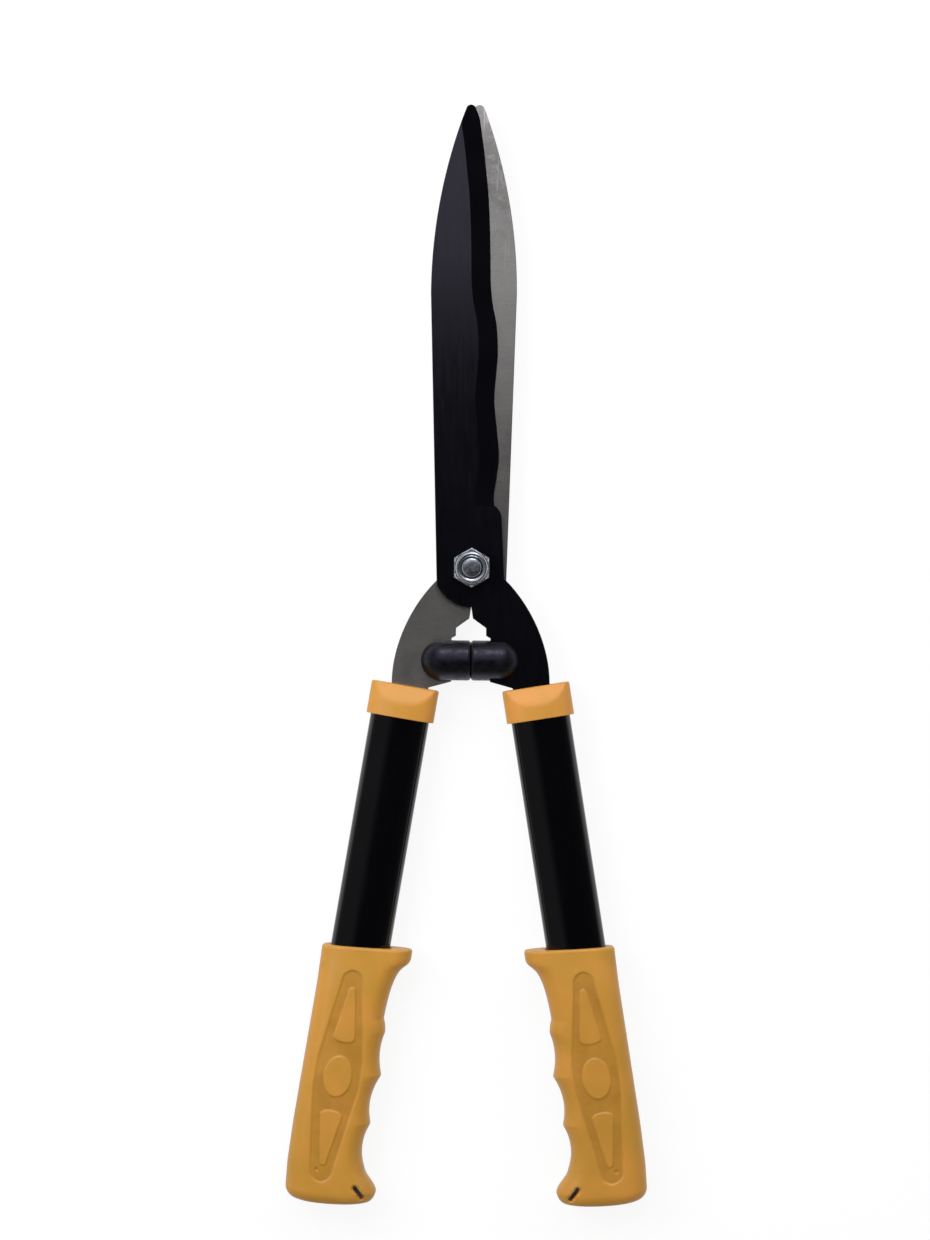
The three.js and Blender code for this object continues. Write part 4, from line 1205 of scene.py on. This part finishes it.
def grip_piece(name, side, settings, material):
    """A moulded grip: finger hollows, a guard horn, a heel, and a panel pressed into each face."""
    smooth = 40 * DEGREE
    panel, pads, slot = panel_outlines()
    relief, hollow = grip_relief(grip_rings(settings), settings, panel, pads, slot)
    points, faces = on_handle(skin(grip_rings(settings, relief)), side)
    grip = make_piece(name, points, faces, [material], smooth_below=smooth)
    if len(grip.data.vertices) != len(points):
        raise RuntimeError(f"{name}: some of its points coincide")
    shade = np.zeros(len(points), np.float32)
    shade[:len(hollow)] = hollow
    grip.data.attributes.new("hollow", "FLOAT", "POINT").data.foreach_set("value", shade)
    # The mouth of the socket flares, so that the tube goes in.
    socket = [
        (GRIP_TOP - 5 * MM, 1 * MM), (GRIP_TOP - 1.3 * MM, 0.5 * MM), (GRIP_TOP + 1.7 * MM, 0),
        (TUBE_END + FIT_GAP, 0),
    ]
    cut_socket(grip, side, socket, smooth)
    # The two halves of the mould taper toward each other, so the slot is narrowest half way down.
    web = drawn_in(slot, np.full(len(slot), 0.9 * MM))
    levels = ((slot, -13 * MM), (web, -0.4 * MM), (web, 0.4 * MM), (slot, 13 * MM))
    hole = skin([np.column_stack((loop, np.full(len(loop), z))) for loop, z in levels])
    carve(grip, on_handle(hole, side), smooth)
    return grip


# Settings

def size(name, description, default):
    """Keywords of a length."""
    return dict(
        name=name, description=description, default=default, min=0.0, unit="LENGTH",
        subtype="DISTANCE", precision=5,
    )


def tone(name, description, code):
    """Keywords of a colour."""
    return dict(
        name=name, description=description, default=linear(code)[:3], min=0, max=1, size=3,
        subtype="COLOR",
    )


class BladeSettings(bpy.types.PropertyGroup):
    bevel_width: FloatProperty(**size("Bevel Width", "Width of the ground slope", 9.4 * MM))
    bevel_land: FloatProperty(**size("Edge Thickness", "Steel left at the cutting edge", 0.6 * MM))
    edge_round: FloatProperty(**size("Edge Break", "Chamfer along the other edges", 0.25 * MM))
    ledge_width: FloatProperty(**size("Ledge Width", "Step where the grinder stops", 0.5 * MM))
    coating: FloatVectorProperty(**tone("Coating", "Colour of the non-stick coating", "#050508"))
    steel: FloatVectorProperty(**tone("Steel", "Colour of the bare ground faces", "#A5A39C"))


class PivotSettings(bpy.types.PropertyGroup):
    across_flats: FloatProperty(**size("Across Flats", "Width of the head and the nut", 17 * MM))
    washer_width: FloatProperty(**size("Washer Width", "Diameter of the washer", 20 * MM))
    thread_pitch: FloatProperty(**size("Thread Pitch", "Distance between two turns", 1.5 * MM))
    thread_depth: FloatProperty(**size("Thread Depth", "Height of the thread's ridge", 0.8 * MM))
    zinc: FloatVectorProperty(**tone("Zinc", "Colour of the plating", "#C6CBCF"))
    nylon: FloatVectorProperty(**tone("Nylon", "Colour of the nut's locking ring", "#4A4D55"))


class BumperSettings(bpy.types.PropertyGroup):
    face_round: FloatProperty(**size("Face Round", "Round of the flat face's edge", 1.5 * MM))
    rubber: FloatVectorProperty(**tone("Rubber", "Colour of the rubber", "#07070B"))


class HandleSettings(bpy.types.PropertyGroup):
    tube_width: FloatProperty(**size("Tube Width", "Wide way across the oval tube", 29 * MM))
    tube_depth: FloatProperty(**size("Tube Depth", "Narrow way across the oval tube", 16 * MM))
    tube_wall: FloatProperty(**size("Tube Wall", "Thickness of the tube's wall", 1.2 * MM))
    facet_length: FloatProperty(**size("Facet Length", "Length of the collar's facet", 8.8 * MM))
    facet_depth: FloatProperty(**size("Facet Depth", "Depth of the facet at its top", 4.4 * MM))
    rim_round: FloatProperty(**size("Rim Round", "Round of the collar's top rim", 0.8 * MM))
    enamel: FloatVectorProperty(**tone("Enamel", "Colour of the tubes", "#020204"))
    collar: FloatVectorProperty(**tone("Collar", "Colour of the collars", "#D6953F"))
    plug: FloatVectorProperty(**tone("Plug", "Colour of the plugs inside the tubes", "#202024"))


class GripSettings(bpy.types.PropertyGroup):
    grip_thickness: FloatProperty(**size("Thickness", "Thickness of the grip", 24.3 * MM))
    panel_depth: FloatProperty(**size("Panel Depth", "Depth of the pressed panel", 0.65 * MM))
    panel_wall: FloatProperty(**size("Panel Wall", "Run of the slope at the panel's rim", 0.9 * MM))
    pad_height: FloatProperty(
        name="Pad Height", description="Height of the pads as a share of the panel's depth",
        default=0.8, min=0, max=1, subtype="FACTOR",
    )
    plastic: FloatVectorProperty(**tone("Plastic", "Colour of the grips", "#CF943A"))


class StageSettings(bpy.types.PropertyGroup):
    distance: FloatProperty(**size("Camera Distance", "Camera to the blades' meeting plane", 1.7))
    view_height: FloatProperty(**size("View Height", "Height of what shows there", 607.6 * MM))
    aim: FloatVectorProperty(
        name="Aim", description="Point under the middle of the picture", size=2,
        default=(-3.0 * MM, -25.5 * MM), unit="LENGTH", subtype="TRANSLATION",
    )
    roll: FloatProperty(
        name="Roll", description="Camera's turn", default=0.5 * DEGREE, unit="ROTATION",
        subtype="ANGLE",
    )


SETTINGS = {
    "shears_blades": BladeSettings, "shears_pivot": PivotSettings, "shears_bumpers": BumperSettings,
    "shears_handles": HandleSettings, "shears_grips": GripSettings, "shears_stage": StageSettings,
}


# Operators

class SHEARS_OT_blades(bpy.types.Operator):
    """Makes both blades"""
    bl_idname = "shears.blades"
    bl_label = "Blades"

    def execute(self, context):
        settings = context.scene.shears_blades
        materials = [nonstick_coating((*settings.coating, 1)), ground_steel((*settings.steel, 1))]
        front = blade_piece("blade_front", RIGHT, settings, materials)
        rear = blade_piece("blade_rear", LEFT, settings, materials)
        dress(front, "front_half", "front_blade")
        dress(rear, "rear_half", "rear_blade")
        return {"FINISHED"}


class SHEARS_OT_pivot(bpy.types.Operator):
    """Makes the bolt, its washer and its lock nut, and finishes the nylon ring"""
    bl_idname = "shears.pivot"
    bl_label = "Pivot"

    def execute(self, context):
        settings = context.scene.shears_pivot
        zinc = zinc_plating((*settings.zinc, 1))
        dress(bolt_piece(settings, zinc), "rear_half", "pivot_bolt")
        dress(washer_piece(settings, zinc), "rear_half", "head_washer")
        dress(nut_piece(settings, zinc), "rear_half", "pivot_lock_nut")
        refinish("nut_nylon_ring", plain_moulding("turned_nylon", (*settings.nylon, 1), 0.5))
        return {"FINISHED"}


class SHEARS_OT_bumpers(bpy.types.Operator):
    """Makes both rubber bumpers"""
    bl_idname = "shears.bumpers"
    bl_label = "Bumpers"

    def execute(self, context):
        settings = context.scene.shears_bumpers
        rubber = moulded_rubber((*settings.rubber, 1))
        for word, side, body in SIDES:
            bumper = bumper_piece(f"stop_{word}", side, settings, rubber)
            dress(bumper, body, f"{word}_bumper")
        return {"FINISHED"}


class SHEARS_OT_handles(bpy.types.Operator):
    """Makes the collars and tubes, and finishes the plugs and pins inside them"""
    bl_idname = "shears.handles"
    bl_label = "Handles"

    def execute(self, context):
        settings = context.scene.shears_handles
        enamel = stove_enamel((*settings.enamel, 1))
        plastic = moulded_polypropylene((*settings.collar, 1))
        plug = plain_moulding("moulded_plug_plastic", (*settings.plug, 1), 0.6)
        pin = zinc_plating((*context.scene.shears_pivot.zinc, 1))
        tree = tube_tree()
        for word, side, body in SIDES:
            collar = collar_piece(f"ferrule_{word}", side, settings, plastic)
            dress(collar, body, f"{word}_collar")
            tube = tube_piece(f"handle_{word}", side, settings, tree, enamel)
            dress(tube, body, f"{word}_tube")
            refinish(f"{word}_tang_plug", plug)
            refinish(f"{word}_tang_pin", pin)
        return {"FINISHED"}


class SHEARS_OT_grips(bpy.types.Operator):
    """Makes both grips"""
    bl_idname = "shears.grips"
    bl_label = "Grips"

    def execute(self, context):
        settings = context.scene.shears_grips
        plastic = moulded_polypropylene((*settings.plastic, 1))
        for word, side, body in SIDES:
            grip = grip_piece(f"hand_grip_{word}", side, settings, plastic)
            dress(grip, body, f"{word}_grip")
        return {"FINISHED"}


def studio_world():
    """A dim studio: a pale wall low down all round, and a dark ceiling above the camera."""
    world = bpy.data.worlds.new("studio")
    bpy.context.scene.world = world
    world.use_nodes = True
    tree = world.node_tree
    node = partial(add_node, tree)
    way = node("ShaderNodeTexCoord").outputs["Generated"]
    rise = node("ShaderNodeSeparateXYZ", {"Vector": way}).outputs
    levels = [(0.0, 0.6), (0.1, 0.5), (0.35, 0.08), (0.8, 0.04), (0.97, 0.03), (1.0, 0.03)]
    stops = [(height, (level, level, level, 1)) for height, level in levels]
    shade = node("ShaderNodeValToRGB", {"Fac": rise["Z"]}, stops)
    shade.color_ramp.interpolation = "EASE"
    left = node(
        "ShaderNodeMapRange",
        {"Value": rise["X"], "From Min": -0.06, "From Max": -0.3, "To Min": 0.0, "To Max": 0.17},
    )
    level = node("ShaderNodeMath", {0: shade, 1: left}, operation="MAXIMUM")
    feed(tree, tree.nodes["Background"], {"Color": level})


def softbox(name, place, width, height, strength, tint=(1, 1, 1), shines=True):
    """A soft lamp that faces the middle of the shears. Without shines it shows in no reflection."""
    lamp = bpy.data.lights.new(name, "AREA")
    lamp.shape = "RECTANGLE"
    lamp.size, lamp.size_y = width, height
    lamp.color = tint
    # A rectangle's radiance is its power over four times its area.
    lamp.energy = strength * 4 * width * height
    obj = bpy.data.objects.new(name, lamp)
    bpy.context.scene.collection.objects.link(obj)
    obj.location = place
    aim = Vector((0, -0.03, 0)) - Vector(place)
    obj.rotation_euler = aim.to_track_quat("-Z", "Y").to_euler()
    obj.visible_glossy = shines


def white_floor():
    """A wide white table that stays white in the picture and keeps a faint shadow."""
    reach = 40
    outline = [(-reach, -reach), (reach, -reach), (reach, reach), (-reach, reach)]
    points, faces = prism(outline, -2 * MM, -0.2 * MM)
    plain = {
        "Roughness": 0.9, "Base Color": linear("#626262"), "Specular IOR Level": 0.0,
        "Emission Color": (1, 1, 1, 1),
    }
    material, node, finish = new_material("white_table", plain)
    path = node("ShaderNodeLightPath").outputs
    rays = {0: path["Is Camera Ray"], 1: path["Is Glossy Ray"]}
    seen = node("ShaderNodeMath", rays, operation="MAXIMUM")
    seen = node("ShaderNodeMath", {0: seen, 1: path["Is Transmission Ray"]}, operation="MAXIMUM")
    glow = node("ShaderNodeMath", {0: seen, 1: 0.9}, operation="MULTIPLY")
    finish({"Emission Strength": glow})
    return make_piece("white_table", points, faces, [material])


class SHEARS_OT_stage(bpy.types.Operator):
    """Makes the table, the light and the camera"""
    bl_idname = "shears.stage"
    bl_label = "Stage"

    def execute(self, context):
        settings = context.scene.shears_stage
        white_floor()
        studio_world()
        softbox("key_light", (-0.1, 1.2, 1.5), 1.5, 2.25, 0.75, (0.98, 0.96, 1.08))
        softbox("top_light", (0.25, 1.55, 1.3), 1.0, 0.62, 3.4)
        softbox("left_light", (-0.52, 0.18, 0.6), 0.6, 0.6, 3.8, shines=False)
        softbox("right_light", (0.86, 0.34, 0.42), 0.8, 0.6, 2.1, shines=False)
        softbox("front_light", (0.3, -1.2, 0.32), 1.2, 0.4, 1.1, shines=False)
        camera = bpy.data.cameras.new("camera")
        camera.sensor_fit = "VERTICAL"
        camera.sensor_height = 36
        camera.lens = camera.sensor_height * settings.distance / settings.view_height
        obj = bpy.data.objects.new("camera", camera)
        context.scene.collection.objects.link(obj)
        obj.location = (settings.aim[0], settings.aim[1], MATING_PLANE + settings.distance)
        obj.rotation_euler = (0, 0, settings.roll)
        context.scene.camera = obj
        context.scene.view_settings.view_transform = "Standard"
        return {"FINISHED"}


OPERATORS = (
    SHEARS_OT_blades, SHEARS_OT_pivot, SHEARS_OT_bumpers, SHEARS_OT_handles, SHEARS_OT_grips,
    SHEARS_OT_stage,
)


class SHEARS_PT_sidebar(bpy.types.Panel):
    """Steps of the shears, in order"""
    bl_idname = "SHEARS_PT_sidebar"
    bl_label = "Hedge Shears"
    bl_space_type = "VIEW_3D"
    bl_region_type = "UI"
    bl_category = "Shears"

    def draw(self, context):
        for operator in OPERATORS:
            self.layout.operator(operator.bl_idname)


def register():
    for group in (*SETTINGS.values(), *OPERATORS, SHEARS_PT_sidebar):
        bpy.utils.register_class(group)
    for name, group in SETTINGS.items():
        setattr(bpy.types.Scene, name, PointerProperty(type=group))


def unregister():
    for name in SETTINGS:
        delattr(bpy.types.Scene, name)
    for group in reversed((*SETTINGS.values(), *OPERATORS, SHEARS_PT_sidebar)):
        bpy.utils.unregister_class(group)


def main():
    register()
    bpy.ops.shears.stage()
    bpy.ops.shears.blades()
    bpy.ops.shears.pivot()
    bpy.ops.shears.bumpers()
    bpy.ops.shears.handles()
    bpy.ops.shears.grips()


if __name__ == "__main__":
    main()
